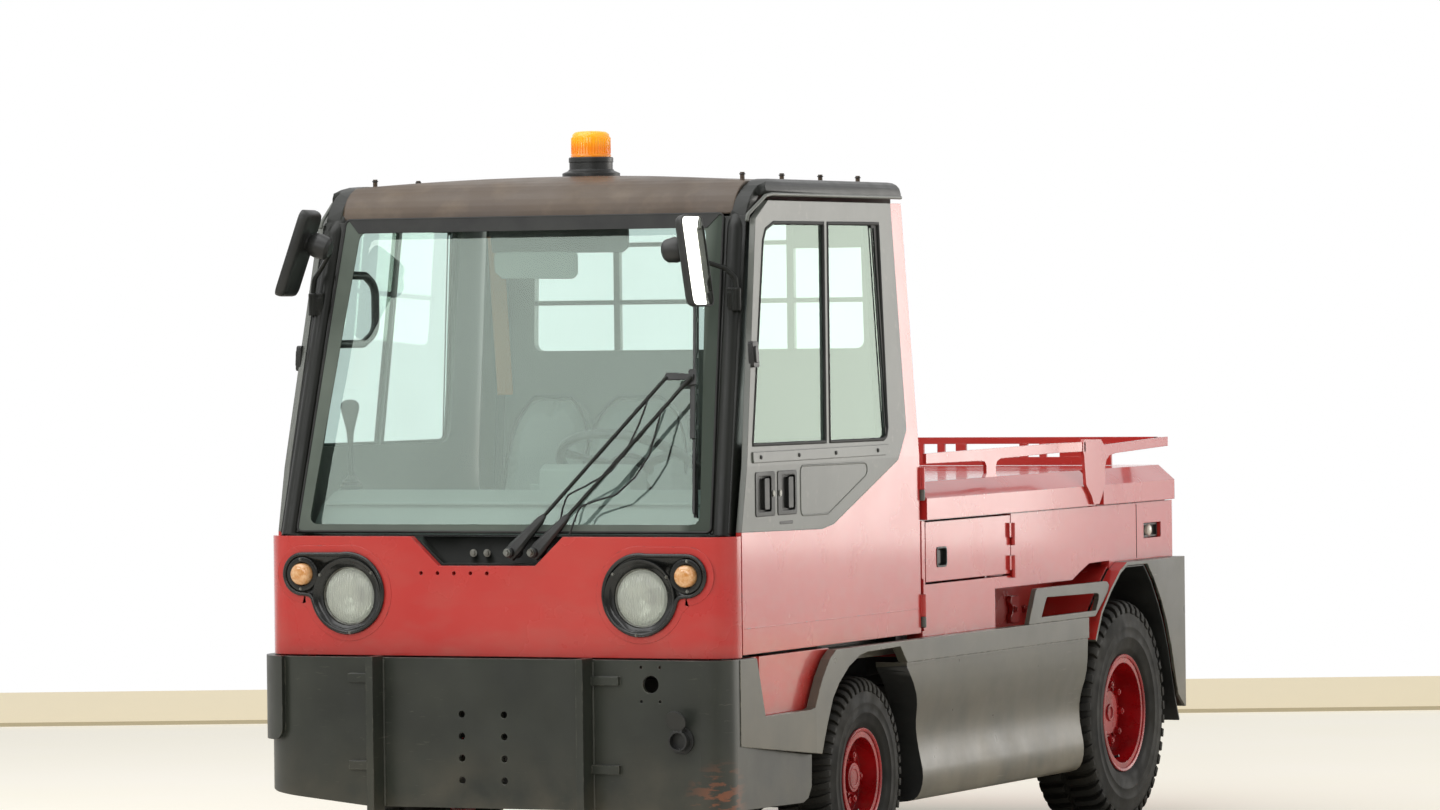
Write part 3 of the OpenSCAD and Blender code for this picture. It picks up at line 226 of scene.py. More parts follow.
def addNode(tree, kind, sockets=None, **props):
    node = tree.nodes.new(kind)
    for name, value in props.items():
        setattr(node, name, value)
    for key, value in (sockets or {}).items():
        if isinstance(value, bpy.types.Node):
            value = value.outputs[0]
        if isinstance(value, bpy.types.NodeSocket):
            tree.links.new(value, node.inputs[key])
        else:
            isColour = isinstance(value, str) and value.startswith("#")
            node.inputs[key].default_value = linear(value) if isColour else value
    return node


def startTree(name, inputs):
    tree = bpy.data.node_groups.new(name, "GeometryNodeTree")
    tree.interface.new_socket("Geometry", in_out="INPUT", socket_type="NodeSocketGeometry")
    for label, kind in inputs:
        tree.interface.new_socket(label, in_out="INPUT", socket_type="NodeSocket" + kind)
    tree.interface.new_socket("Geometry", in_out="OUTPUT", socket_type="NodeSocketGeometry")
    return tree, tree.nodes.new("NodeGroupInput"), tree.nodes.new("NodeGroupOutput")


def grow(source, tree, settings, name, angle=32):   # runs a tree on a source and keeps the plain mesh
    modifier = source.modifiers.new("grow", "NODES")
    modifier.node_group = tree
    for item in tree.interface.items_tree:
        if item.item_type == "SOCKET" and item.in_out == "INPUT" and item.name in settings:
            modifier[item.identifier] = settings[item.name]
    mesh = evaluated(source)
    source.modifiers.remove(modifier)
    bpy.data.objects.remove(source)
    shadeRound(mesh, angle)
    return addObject(name, mesh)


def boltTree():   # a fastener with its washer on every point, turned to the point's facing
    tree, given, made = startTree("boltsOnPoints", [
        ("Head Radius", "Float"), ("Head Height", "Float"), ("Head Sides", "Int"),
        ("Top Share", "Float"), ("Washer Radius", "Float"), ("Material", "Material")])
    top = addNode(tree, "ShaderNodeMath", {0: given.outputs["Head Radius"], 1: given.outputs["Top Share"]},
                  operation="MULTIPLY")
    head = addNode(tree, "GeometryNodeMeshCone", {
        "Vertices": given.outputs["Head Sides"], "Radius Top": top,
        "Radius Bottom": given.outputs["Head Radius"], "Depth": given.outputs["Head Height"]})
    washer = addNode(tree, "GeometryNodeMeshCylinder", {
        "Vertices": 20, "Radius": given.outputs["Washer Radius"], "Depth": 0.003})
    both = addNode(tree, "GeometryNodeJoinGeometry")
    tree.links.new(head.outputs["Mesh"], both.inputs[0])
    tree.links.new(washer.outputs["Mesh"], both.inputs[0])
    facing = addNode(tree, "GeometryNodeInputNamedAttribute", {"Name": "facing"}, data_type="FLOAT_VECTOR")
    turn = addNode(tree, "FunctionNodeAlignRotationToVector", {"Vector": facing}, axis="Z")
    on = addNode(tree, "GeometryNodeInstanceOnPoints", {
        "Points": given.outputs["Geometry"], "Instance": both, "Rotation": turn})
    real = addNode(tree, "GeometryNodeRealizeInstances", {0: on})
    painted = addNode(tree, "GeometryNodeSetMaterial", {
        "Geometry": real, "Material": given.outputs["Material"]})
    tree.links.new(painted.outputs[0], made.inputs[0])
    return tree


def tubeTree():   # a round bar, bead or hose along the source's edges
    tree, given, made = startTree("tubeOnPath", [
        ("Radius", "Float"), ("Bend Radius", "Float"), ("Sides", "Int"), ("Material", "Material")])
    path = addNode(tree, "GeometryNodeMeshToCurve", {0: given.outputs["Geometry"]})
    bent = addNode(tree, "GeometryNodeFilletCurve", {
        "Curve": path, "Count": 5, "Radius": given.outputs["Bend Radius"], "Limit Radius": True}, mode="POLY")
    section = addNode(tree, "GeometryNodeCurvePrimitiveCircle", {
        "Resolution": given.outputs["Sides"], "Radius": given.outputs["Radius"]})
    skin = addNode(tree, "GeometryNodeCurveToMesh", {
        "Curve": bent, "Profile Curve": section, "Fill Caps": True})
    painted = addNode(tree, "GeometryNodeSetMaterial", {
        "Geometry": skin, "Material": given.outputs["Material"]})
    tree.links.new(painted.outputs[0], made.inputs[0])
    return tree


def ringTree():   # repeats the source round the X axis, then moves the ring to its centre
    tree, given, made = startTree("repeatRoundAxis", [
        ("Count", "Int"), ("Centre", "Vector"), ("Axis", "Vector"), ("Material", "Material")])
    points = addNode(tree, "GeometryNodePoints", {"Count": given.outputs["Count"]})
    index = addNode(tree, "GeometryNodeInputIndex")
    share = addNode(tree, "ShaderNodeMath", {0: index, 1: given.outputs["Count"]},
                    operation="DIVIDE")
    angle = addNode(tree, "ShaderNodeMath", {0: share, 1: 2 * math.pi}, operation="MULTIPLY")
    turn = addNode(tree, "FunctionNodeAxisAngleToRotation", {
        "Axis": given.outputs["Axis"], "Angle": angle})
    on = addNode(tree, "GeometryNodeInstanceOnPoints", {
        "Points": points, "Instance": given.outputs["Geometry"], "Rotation": turn})
    real = addNode(tree, "GeometryNodeRealizeInstances", {0: on})
    moved = addNode(tree, "GeometryNodeTransform", {
        "Geometry": real, "Translation": given.outputs["Centre"]})
    painted = addNode(tree, "GeometryNodeSetMaterial", {
        "Geometry": moved, "Material": given.outputs["Material"]})
    tree.links.new(painted.outputs[0], made.inputs[0])
    return tree


bolts, tubes, rings = boltTree(), tubeTree(), ringTree()


def pointSource(points):   # points of (place, facing) as a mesh that the bolt tree reads
    mesh = bpy.data.meshes.new("points")
    mesh.from_pydata([p for p, facing in points], [], [])
    facing = mesh.attributes.new("facing", "FLOAT_VECTOR", "POINT")
    facing.data.foreach_set("vector", [c for p, way in points for c in Vector(way).normalized()])
    return addObject("points", mesh)


def pathSource(paths):   # each path is (points, closed)
    verts, edges = [], []
    for points, closed in paths:
        first = len(verts)
        verts += [tuple(p) for p in points]
        edges += [(first + i, first + i + 1) for i in range(len(points) - 1)]
        if closed:
            edges.append((len(verts) - 1, first))
    mesh = bpy.data.meshes.new("path")
    mesh.from_pydata(verts, edges, [])
    return addObject("path", mesh)


# materials

def linear(code):   # sRGB hex to scene colour
    made = []
    for i in (1, 3, 5):
        c = int(code[i:i + 2], 16) / 255
        made.append(c / 12.92 if c <= 0.04045 else ((c + 0.055) / 1.055) ** 2.4)
    return (*made, 1.0)


def makeMaterial(name, build, **settings):   # build adds nodes to the tree and returns the last one
    material = bpy.data.materials.new(name)
    material.use_nodes = True
    tree = material.node_tree
    tree.nodes.clear()
    shader = build(tree, **settings)
    out = tree.nodes.new("ShaderNodeOutputMaterial")
    tree.links.new(shader.outputs[0], out.inputs["Surface"])
    return material


def objectPlace(tree):
    return addNode(tree, "ShaderNodeTexCoord").outputs["Object"]


def mapRange(tree, value, low, high, start=0.0, end=1.0):
    return addNode(tree, "ShaderNodeMapRange", {
        "Value": value, "From Min": low, "From Max": high, "To Min": start, "To Max": end}).outputs[0]


def patches(tree, scale, low, high, detail=4.0, stretch=(1, 1, 1)):   # 0 to 1 in soft-edged patches
    mapped = addNode(tree, "ShaderNodeMapping", {"Vector": objectPlace(tree), "Scale": stretch})
    noise = addNode(tree, "ShaderNodeTexNoise", {"Vector": mapped, "Scale": scale, "Detail": detail})
    return mapRange(tree, noise, low, high)


def alongAxis(tree, axis, low, high, start=0.0, end=1.0):   # metres along an object's axis
    parts = addNode(tree, "ShaderNodeSeparateXYZ", {0: objectPlace(tree)})
    return mapRange(tree, parts.outputs[axis], low, high, start, end)


def belowHeight(tree, low, high):   # 1 under low, 0 over high
    return alongAxis(tree, "Z", low, high, 1.0, 0.0)


def times(tree, a, b):
    return addNode(tree, "ShaderNodeMath", {0: a, 1: b}, operation="MULTIPLY").outputs[0]


def blendColour(tree, share, a, b):
    return addNode(tree, "ShaderNodeMix", {0: share, 6: a, 7: b}, data_type="RGBA").outputs[2]


def blendNumber(tree, share, a, b):
    return addNode(tree, "ShaderNodeMix", {0: share, 2: a, 3: b}).outputs[0]


def wornEdges(tree, radius, low, high):   # 1 on sharp outer edges, broken up by noise
    bevel = addNode(tree, "ShaderNodeBevel", {"Radius": radius}, samples=4)
    flat = addNode(tree, "ShaderNodeNewGeometry")
    same = addNode(tree, "ShaderNodeVectorMath", {0: bevel, 1: flat.outputs["Normal"]},
                   operation="DOT_PRODUCT")
    edge = mapRange(tree, same.outputs["Value"], 0.995, 0.9)
    return times(tree, edge, patches(tree, 38.0, low, high, 6.0))


def bump(tree, strength, height, radius=0):   # fine relief in mm, on edges rounded by radius
    sockets = {"Strength": strength, "Distance": 0.001, "Height": height}
    if radius:
        sockets["Normal"] = addNode(tree, "ShaderNodeBevel", {"Radius": radius}, samples=4)
    return addNode(tree, "ShaderNodeBump", sockets)


def noiseBump(tree, radius, strength, scale, detail=2.0):
    return bump(tree, strength, patches(tree, scale, 0.0, 1.0, detail), radius)


def roughness(tree, scale, low, high, smooth, dull):
    return blendNumber(tree, patches(tree, scale, low, high), smooth, dull)


def principled(tree, colour, rough, normal=None, more=None):
    sockets = {"Base Color": colour, "Roughness": rough, **(more or {})}
    if normal is not None:
        sockets["Normal"] = normal
    return addNode(tree, "ShaderNodeBsdfPrincipled", sockets)


def bodyEnamel(tree):   # sprayed two-pack enamel: glossy, faint orange peel, road film low down
    look = {"paint": "#c02a27", "sunned": "#c8423b", "film": "#a8776a", "chip": "#5b2a26"}
    colour = blendColour(tree, patches(tree, 1.6, 0.35, 0.68), look["paint"], look["sunned"])
    film = times(tree, belowHeight(tree, 0.5, 1.0), patches(tree, 9.0, 0.42, 0.75, 6.0, (1, 1, 2.2)))
    colour = blendColour(tree, times(tree, film, 0.28), colour, look["film"])
    colour = blendColour(tree, wornEdges(tree, 0.004, 0.56, 0.66), colour, look["chip"])
    return principled(tree, colour, roughness(tree, 6.0, 0.3, 0.7, 0.2, 0.3),
                      noiseBump(tree, 0.003, 0.05, 420.0),
                      {"IOR": 1.5, "Coat Weight": 0.6, "Coat Roughness": 0.08})


def plateEnamel(tree):   # satin anthracite enamel on thick plate: scuffed, rusty where a corner has rubbed
    look = {"paint": "#262924", "grey": "#33362f", "scuff": "#55554b", "rust": "#7a4a32", "dust": "#4d493d",
            "rubbed": (655, -25, 262)}
    colour = blendColour(tree, patches(tree, 5.0, 0.35, 0.7, 6.0), look["paint"], look["grey"])
    low = times(tree, belowHeight(tree, 0.22, 0.42), patches(tree, 8.0, 0.35, 0.7, 6.0))
    colour = blendColour(tree, low, colour, look["dust"])
    scratch = times(tree, patches(tree, 30.0, 0.66, 0.69, 8.0, (1, 0.5, 6)), patches(tree, 2.6, 0.45, 0.65))
    colour = blendColour(tree, times(tree, scratch, 0.6), colour, look["scuff"])
    spot = addNode(tree, "ShaderNodeVectorMath", {0: objectPlace(tree), 1: place(*look["rubbed"])},
                   operation="DISTANCE")
    near = mapRange(tree, spot.outputs["Value"], 0.02, 0.11, 1.0, 0.0)
    rubbed = times(tree, near, patches(tree, 22.0, 0.5, 0.56, 8.0, (1, 1, 3.5)))
    colour = blendColour(tree, rubbed, colour, look["rust"])
    colour = blendColour(tree, wornEdges(tree, 0.005, 0.5, 0.6), colour, look["scuff"])
    return principled(tree, colour, roughness(tree, 11.0, 0.3, 0.7, 0.3, 0.44),
                      noiseBump(tree, 0.003, 0.12, 260.0, 3.0))


def trimEnamel(tree):   # satin grey enamel on pressed side trims and skirts, dusty and scratched
    look = {"paint": "#4b4a42", "worn": "#5c594d", "dust": "#7b7362", "scratch": "#8d887a"}
    colour = blendColour(tree, patches(tree, 4.0, 0.35, 0.68, 6.0), look["paint"], look["worn"])
    low = times(tree, belowHeight(tree, 0.18, 0.55), patches(tree, 7.0, 0.3, 0.72, 7.0))
    colour = blendColour(tree, low, colour, look["dust"])
    scratch = times(tree, patches(tree, 46.0, 0.66, 0.69, 8.0, (1, 0.16, 1.6)), patches(tree, 3.1, 0.5, 0.66))
    colour = blendColour(tree, times(tree, scratch, 0.5), colour, look["scratch"])
    colour = blendColour(tree, wornEdges(tree, 0.004, 0.48, 0.58), colour, look["scratch"])
    return principled(tree, colour, roughness(tree, 9.0, 0.3, 0.7, 0.27, 0.4),
                      noiseBump(tree, 0.003, 0.08, 300.0))


def safetyGlass(tree):   # laminated sheet glass: clear with a green cast, a light dust film, mirror-smooth
    look = {"tint": "#eff6f4", "haze": "#b9c2bb", "shine": "#ecfff2"}
    through = addNode(tree, "ShaderNodeBsdfTransparent", {"Color": look["tint"]})
    film = addNode(tree, "ShaderNodeBsdfDiffuse", {"Color": look["haze"]})
    share = blendNumber(tree, patches(tree, 5.0, 0.35, 0.75, 6.0), 0.015, 0.045)
    dusty = addNode(tree, "ShaderNodeMixShader", {0: share, 1: through, 2: film})
    gloss = addNode(tree, "ShaderNodeBsdfGlossy", {"Color": look["shine"], "Roughness": 0.015})
    fresnel = addNode(tree, "ShaderNodeFresnel", {"IOR": 1.5})
    facing = addNode(tree, "ShaderNodeNewGeometry")   # the pane's far face adds no reflection of its own
    outside = addNode(tree, "ShaderNodeMath", {0: 1.0, 1: facing.outputs["Backfacing"]}, operation="SUBTRACT")
    return addNode(tree, "ShaderNodeMixShader", {0: times(tree, fresnel, outside), 1: dusty, 2: gloss})


def pressedGlass(tree):   # clear pressed lamp glass
    through = addNode(tree, "ShaderNodeBsdfTransparent", {"Color": "#f2f4f0"})
    body = principled(tree, "#eef0ea", roughness(tree, 60.0, 0.3, 0.7, 0.04, 0.1), None, {"IOR": 1.5})
    return addNode(tree, "ShaderNodeMixShader", {0: 0.3, 1: through, 2: body})


def amberMouldingPaintedGlow(tree):   # clear amber polycarbonate, with a painted glow in its own colour and painted light on its top
    # painted light: the dome turns lighter towards its top
    colour = blendColour(tree, alongAxis(tree, "Z", 1.925, 1.945), "#f08a0e", "#ffb31f")
    # painted glow: the emission makes the amber shine as if lit from behind
    return principled(tree, colour, roughness(tree, 90.0, 0.3, 0.7, 0.1, 0.18), None, {
        "Subsurface Weight": 0.35, "Subsurface Radius": (0.03, 0.012, 0.004), "Subsurface Scale": 0.5,
        "Emission Color": colour, "Emission Strength": 0.22})


def indicatorMouldingPaintedGlow(tree):   # pale amber lens over a clear reflector, with a painted glow
    colour = blendColour(tree, patches(tree, 120.0, 0.35, 0.65), "#c98a4c", "#e2b483")
    # painted glow: the emission makes the lens shine in its own colour
    return principled(tree, colour, 0.12, None, {
        "Coat Weight": 0.7, "Emission Color": colour, "Emission Strength": 0.1})


def seatVinyl(tree):   # grained grey seat vinyl, 1.5 mm grain drawn a little coarse, shiny where sat on
    grain = addNode(tree, "ShaderNodeTexVoronoi", {"Vector": objectPlace(tree), "Scale": 420.0})
    colour = blendColour(tree, patches(tree, 6.0, 0.35, 0.7, 5.0), "#6f7672", "#848b86")
    return principled(tree, colour, roughness(tree, 7.0, 0.3, 0.7, 0.42, 0.6),
                      bump(tree, 0.35, grain.outputs["Distance"]))


def beltWebbing(tree):   # woven seat belt webbing, faded orange brown, 1.2 mm ribs
    weave = addNode(tree, "ShaderNodeTexWave",
                    {"Vector": objectPlace(tree), "Scale": 260.0, "Distortion": 0.4},
                    bands_direction="Z").outputs[1]
    return principled(tree, blendColour(tree, weave, "#8a5a33", "#a8733f"), 0.8, bump(tree, 0.3, weave))


def screenBorderPaintedShade(tree):   # grey obscured edge of laminated glass, with painted shade darkening its left edge before the dark pillar
    colour = blendColour(tree, patches(tree, 5.0, 0.35, 0.7, 5.0), "#59625a", "#6a736a")
    # painted shade: the border turns dark from 0.5 m out on the left
    colour = blendColour(tree, alongAxis(tree, "X", 0.5, 0.53), colour, "#3b443c")
    return principled(tree, colour, roughness(tree, 12.0, 0.3, 0.7, 0.5, 0.65), None,
                      {"Specular IOR Level": 0.2})


# tones: one colour, or two in spots of (scale, low, high, detail, stretch)
# layer: (share, colour) and such spots; worn: (edge radius, colour) and the range of its noise
# rough: a number or (scale, low, high, smooth, dull); relief: (edge radius, strength, scale, detail)
coats = {
    "rim_red": ("wheelEnamel", {   # brushed-on gloss enamel over pressed steel, chipped at the rim's edge
        "tones": ("#a80f14", "#8a0b10"), "spots": (14.0, 0.4, 0.65),
        "layer": (0.25, "#7a4f44", 26.0, 0.52, 0.74, 6.0), "worn": (0.002, "#7d6a64", 0.6, 0.66),
        "rough": (20.0, 0.4, 0.7, 0.22, 0.42), "relief": (0.003, 0.12, 160.0)}),
    "black_paint": ("chassisEnamel", {   # black chassis enamel with oily dust
        "tones": "#161716", "layer": (0.6, "#3b372e", 9.0, 0.4, 0.75, 6.0), "rough": 0.48,
        "relief": (0.003, 0.25, 140.0, 4.0)}),
    "cabBlack": ("frameEnamel", {   # gloss black enamel on the cab's tubes
        "tones": ("#121411", "#20221e"), "spots": (3.0, 0.35, 0.7), "rough": (12.0, 0.3, 0.7, 0.3, 0.42),
        "relief": (0.005, 0.06, 300.0), "more": {"Specular IOR Level": 0.3}}),
    "sash_grey": ("sashEnamel", {   # satin grey enamel on the window frames
        "tones": ("#5c5f59", "#6d706a"), "spots": (4.0, 0.35, 0.7),
        "layer": (0.3, "#86857a", 30.0, 0.6, 0.72, 7.0),
        "rough": 0.32, "relief": (0.003, 0.08, 300.0)}),
    "roof_shell": ("roofLaminate", {   # hand-laid polyester: satin brown grey, mottled and sun-bleached
        "tones": ("#524230", "#3f2f20"), "spots": (3.5, 0.35, 0.7, 7.0, (0.5, 1, 2)),
        "layer": (0.5, "#6e5d48", 12.0, 0.5, 0.75, 7.0), "rough": (8.0, 0.3, 0.7, 0.34, 0.5),
        "relief": (0.008, 0.2, 90.0, 4.0)}),
    "chrome": ("lampChrome", {   # vacuum-metallised reflector
        "tones": "#dfe1dd", "rough": (30.0, 0.3, 0.7, 0.2, 0.3), "more": {"Metallic": 1.0}}),
    "red_lens": ("redMoulding", {   # red tail lamp lens
        "tones": ("#8f0f12", "#b31a1c"), "spots": (80.0, 0.35, 0.65), "rough": 0.14,
        "more": {"Coat Weight": 0.7}}),
    "tyre": ("tyreRubber", {   # black rubber gone grey brown with concrete dust, cleaner in its grooves
        "tones": ("#0b0b09", "#1d1b14"), "spots": (9.0, 0.32, 0.66, 6.0),
        "worn": (0.003, "#29251b", 0.35, 0.6),
        "rough": (20.0, 0.3, 0.7, 0.62, 0.8), "relief": (0.002, 0.3, 190.0, 6.0),
        "more": {"Specular IOR Level": 0.3}}),
    "dash_plastic": ("dashMoulding", {   # grained grey ABS dashboard
        "tones": ("#6c736f", "#7e8580"), "spots": (4.0, 0.35, 0.7, 5.0), "rough": 0.55,
        "relief": (0.006, 0.3, 500.0, 3.0)}),
    "black_plastic": ("mouldedBlack", {   # black polypropylene mouldings
        "tones": ("#1a1b1a", "#2b2c2a"), "spots": (8.0, 0.35, 0.7, 5.0), "rough": (15.0, 0.3, 0.7, 0.36, 0.5),
        "relief": (0.002, 0.15, 420.0, 3.0)}),
    "podBlack": ("podBlack", {   # the same, glossier, round the front lamps
        "tones": ("#121312", "#2b2c2a"), "spots": (8.0, 0.35, 0.7, 5.0), "rough": (15.0, 0.3, 0.7, 0.16, 0.3),
        "relief": (0.002, 0.15, 420.0, 3.0)}),
    "rubber": ("sealRubber", {   # matt black window rubber
        "tones": ("#121312", "#262724"), "spots": (12.0, 0.35, 0.7, 5.0), "rough": 0.62,
        "relief": (0, 0.2, 260.0)}),
    "steel": ("zincPlate", {   # zinc-plated fasteners and pins, dulled
        "tones": ("#8c8d88", "#6b6860"), "spots": (40.0, 0.35, 0.7, 5.0), "rough": (60.0, 0.3, 0.7, 0.3, 0.5),
        "more": {"Metallic": 0.9}}),
    "mirrorSilver": ("silveredGlass", {   # back-silvered mirror
        "tones": "#eceee9", "rough": (18.0, 0.4, 0.8, 0.02, 0.07), "more": {"Metallic": 1.0}}),
    "battery_case": ("batteryCase", {   # painted steel battery tray
        "tones": ("#4b4f50", "#3a3c3b"), "spots": (5.0, 0.35, 0.7, 6.0), "rough": 0.5,
        "relief": (0.004, 0.2, 120.0, 3.0)}),
    "dialWhite": ("dialFace", {   # matt white printed dial
        "tones": ("#d8d8cf", "#c9c9c0"), "spots": (300.0, 0.4, 0.7), "rough": 0.4}),
    "markerWhite": ("markerMoulding", {   # clear ribbed polycarbonate over a white backing
        "tones": ("#e6ddca", "#f6f1e6"), "spots": (200.0, 0.35, 0.65), "rough": 0.12,
        "more": {"Coat Weight": 0.6}})}


def coat(tree, tones, rough, spots=None, layer=None, worn=None, relief=None, more=None):
    colour = blendColour(tree, patches(tree, *spots), *tones) if spots else tones
    if layer:
        share, tone, *where = layer
        colour = blendColour(tree, times(tree, patches(tree, *where), share), colour, tone)
    if worn:
        radius, tone, *where = worn
        colour = blendColour(tree, wornEdges(tree, radius, *where), colour, tone)
    level = roughness(tree, *rough) if isinstance(rough, tuple) else rough
    return principled(tree, colour, level, noiseBump(tree, *relief) if relief else None, more)


finish = {key: makeMaterial(build.__name__, build) for key, build in (
    ("paint_red", bodyEnamel), ("anthracite", plateEnamel), ("trim_grey", trimEnamel), ("glass", safetyGlass),
    ("lamp_glass", pressedGlass), ("amber_lens", amberMouldingPaintedGlow), ("seat_vinyl", seatVinyl),
    ("paleAmber", indicatorMouldingPaintedGlow), ("webbing", beltWebbing), ("paleBorder", screenBorderPaintedShade))}
for key, (name, look) in coats.items():
    finish[key] = makeMaterial(name, coat, **look)
print("materials made:", len(bpy.data.materials))

# the record's slot of each look that isn't named after its slot
ownSlots = {"cabBlack": "black_paint", "rubber": "black_plastic", "podBlack": "black_plastic", "chrome": None,
            "mirrorSilver": None, "webbing": "seat_vinyl", "paleAmber": "amber_lens",
            "dialWhite": "dash_plastic", "markerWhite": "lamp_glass", "paleBorder": "sash_grey"}


def dress(obj, look, body="body", stands=(), slot=None):
    obj.data.materials.clear()
    obj.data.materials.append(finish[look])
    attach(obj, body)
    slot = slot or ownSlots.get(look, look)
    if stands:
        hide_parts(*stands)
    return obj


def onLeft(side, *replaced):   # the left piece of a pair stands for both sides' node
    return replaced if side > 0 else ()


def piece(bm, name, look, body="body", edge=None, angle=32, stands=(), slot=None):   # edge as in soften
    obj = makeObject(bm, name, angle)
    if edge:
        soften(obj, *edge)
    return dress(obj, look, body, stands, slot)


def boltsAt(name, points, size, look, body="body"):   # sizes in mm, points of (place, facing)
    obj = grow(pointSource(points), bolts, {
        "Head Radius": size["radius"] / 1000, "Head Height": size["height"] / 1000,
        "Head Sides": size.get("sides", 6), "Top Share": size.get("top", 0.9),
        "Washer Radius": size.get("washer", size["radius"] * 1.25) / 1000, "Material": finish[look]}, name)
    return dress(obj, look, body)


def tubeAlong(name, paths, radius, bend, look, body="body", sides=12, slot=None):
    obj = grow(pathSource(paths), tubes, {
        "Radius": radius / 1000, "Bend Radius": bend / 1000, "Sides": sides,
        "Material": finish[look]}, name, 50)
    return dress(obj, look, body, (), slot)


# CAD parts that keep their shape

def dressNodes():
    looks = {row["node"]: row["material_slot"] for row in frame["record"]["subparts"]}
    looks.update(cab_frame="cabBlack", mirror_arms="cabBlack")
    for name, obj in nodes.items():
        obj.data.materials.clear()
        obj.data.materials.append(finish.get(looks.get(name), finish["black_paint"]))


def smoothCopy(name, title, angle, look, body, inside, inner):   # the CAD shape with its curves shaded round
    bm = bmesh.new()
    bm.from_mesh(nodes[name].data)
    bm.transform(nodes[name].matrix_world)
    bmesh.ops.remove_doubles(bm, verts=bm.verts, dist=0.00001)
    obj = makeObject(bm, title, angle)
    faceted = obj.data.attributes.get("custom_normal")
    if faceted:
        obj.data.attributes.remove(faceted)
    dress(obj, look, body, (name,))
    obj.data.materials.append(finish[inside])
    for face in obj.data.polygons:
        if inner(face):
            face.material_index = 1
    return obj


def evenFolds(mesh):   # shades a long folded sheet the same from end to end
    normals = [corner.vector.copy() for corner in mesh.corner_normals]
    for side in (1, -1):
        outer = [face for face in mesh.polygons if face.normal.x * side > 0.2 and abs(face.normal.y) < 0.02
                 and face.center.x * side > 0]
        folds = {}
        for face in outer:
            for index in face.vertices:
                z = round(mesh.vertices[index].co.z, 3)
                angle = math.atan2(face.normal.z, face.normal.x * side)
                folds.setdefault(z, {})[round(face.normal.z, 2)] = angle
        folds = sorted((z, sum(angles.values()) / len(angles))
                       for z, angles in folds.items() if len(angles) > 1)
        heights, angles = zip(*folds)
        for face in outer:
            for loop in face.loop_indices:
                angle = np.interp(mesh.vertices[mesh.loops[loop].vertex_index].co.z, heights, angles)
                normals[loop] = Vector((side * math.cos(angle), 0, math.sin(angle)))
    mesh.normals_split_custom_set(normals)


def smoothPanels():
    frontAxle, rearAxle = place(0, 860, 265), place(0, 2720, 325)
    linerAndShadeRadius, middle = 0.349, 0.3
    for side, which in ((1, "left"), (-1, "right")):   # grey inside, red outside
        smoothCopy("door_" + which, "door_panel_" + which, 4, "paint_red", "door_" + which, "sash_grey",
                   lambda face: face.normal.x * side < -0.6)
    # the skirt's faces round the front wheel are black: partly the arch's black lining, partly painted shade
    # behind the wheel
    skirts = smoothCopy("side_skirts", "folded_skirts", 24, "trim_grey", "body", "black_plastic",
                        lambda face: (face.center - frontAxle).yz.length < linerAndShadeRadius)
    evenFolds(skirts.data)
    smoothCopy("rear_fenders", "arch_lips", 24, "trim_grey", "body", "paint_red",
               lambda face: face.normal.y < -0.25 and face.normal.z > 0.1 and face.center.y < rearAxle.y)
    smoothCopy("cab_frame", "cab_tubes", 24, "cabBlack", "body", "sash_grey",
               lambda face: face.normal.x * face.center.x < 0 and abs(face.normal.x) > 0.5
               and abs(face.center.x) > middle)


dressNodes()
smoothPanels()
print("parts painted")


# camera, light and ground

def setCamera():
    view = {"place": (7577, -15261, 1491), "yaw": 24.441, "pitch": -0.796, "roll": -0.672, "lens": 167.23}
    yaw, pitch, roll = (math.radians(view[k]) for k in ("yaw", "pitch", "roll"))
    ahead = Vector((-math.sin(yaw) * math.cos(pitch), math.cos(yaw) * math.cos(pitch), math.sin(pitch)))
    right = Vector((math.cos(yaw), math.sin(yaw), 0))
    up = right.cross(ahead)
    across = right * math.cos(roll) + up * math.sin(roll)
    upward = up * math.cos(roll) - right * math.sin(roll)
    data = bpy.data.cameras.new("camera")
    data.lens, data.sensor_width, data.clip_end = view["lens"], 36, 200
    camera = addObject("camera", data)
    turn = Matrix((across, upward, -ahead)).transposed().to_4x4()
    camera.matrix_world = Matrix.Translation(place(*view["place"])) @ turn
    bpy.context.scene.camera = camera
    return Vector((ahead.x, ahead.y, 0)).normalized(), Vector((right.x, right.y, 0))


def setWorld():   # soft white room, plain white to the camera, with a dim end behind the camera
    light = {"room": 0.5, "seen": 1.0, "reflected": 1.0, "dimEnd": 0.12, "bank": 6.6}
    world = bpy.data.worlds.new("room")
    bpy.context.scene.world = world
    world.use_nodes = True
    tree = world.node_tree
    tree.nodes.clear()
    path = addNode(tree, "ShaderNodeLightPath")
    seen = addNode(tree, "ShaderNodeMath", {
        0: path.outputs["Is Camera Ray"], 1: path.outputs["Is Transmission Ray"]}, operation="MAXIMUM")
    coords = addNode(tree, "ShaderNodeTexCoord")
    towards = addNode(tree, "ShaderNodeVectorMath", {
        0: coords.outputs["Generated"], 1: (0.2, -0.98, 0.0)}, operation="DOT_PRODUCT")
    behind = mapRange(tree, towards.outputs["Value"], 0.5, 0.86)
    room = blendNumber(tree, behind, light["reflected"], light["dimEnd"])
    above = addNode(tree, "ShaderNodeVectorMath", {   # the lamp bank that the leaning windscreen mirrors
        0: coords.outputs["Generated"], 1: (-0.442, -0.793, 0.42)}, operation="DOT_PRODUCT")
    bank = mapRange(tree, above.outputs["Value"], 0.989, 0.9955)
    room = blendNumber(tree, bank, room, light["bank"])
    strength = blendNumber(tree, path.outputs["Is Glossy Ray"], light["room"], room)
    strength = blendNumber(tree, seen, strength, light["seen"])
    shade = addNode(tree, "ShaderNodeBackground", {"Color": (1, 1, 1, 1), "Strength": strength})
    out = tree.nodes.new("ShaderNodeOutputWorld")
    tree.links.new(shade.outputs[0], out.inputs["Surface"])
    bpy.context.scene.view_settings.view_transform = "Standard"


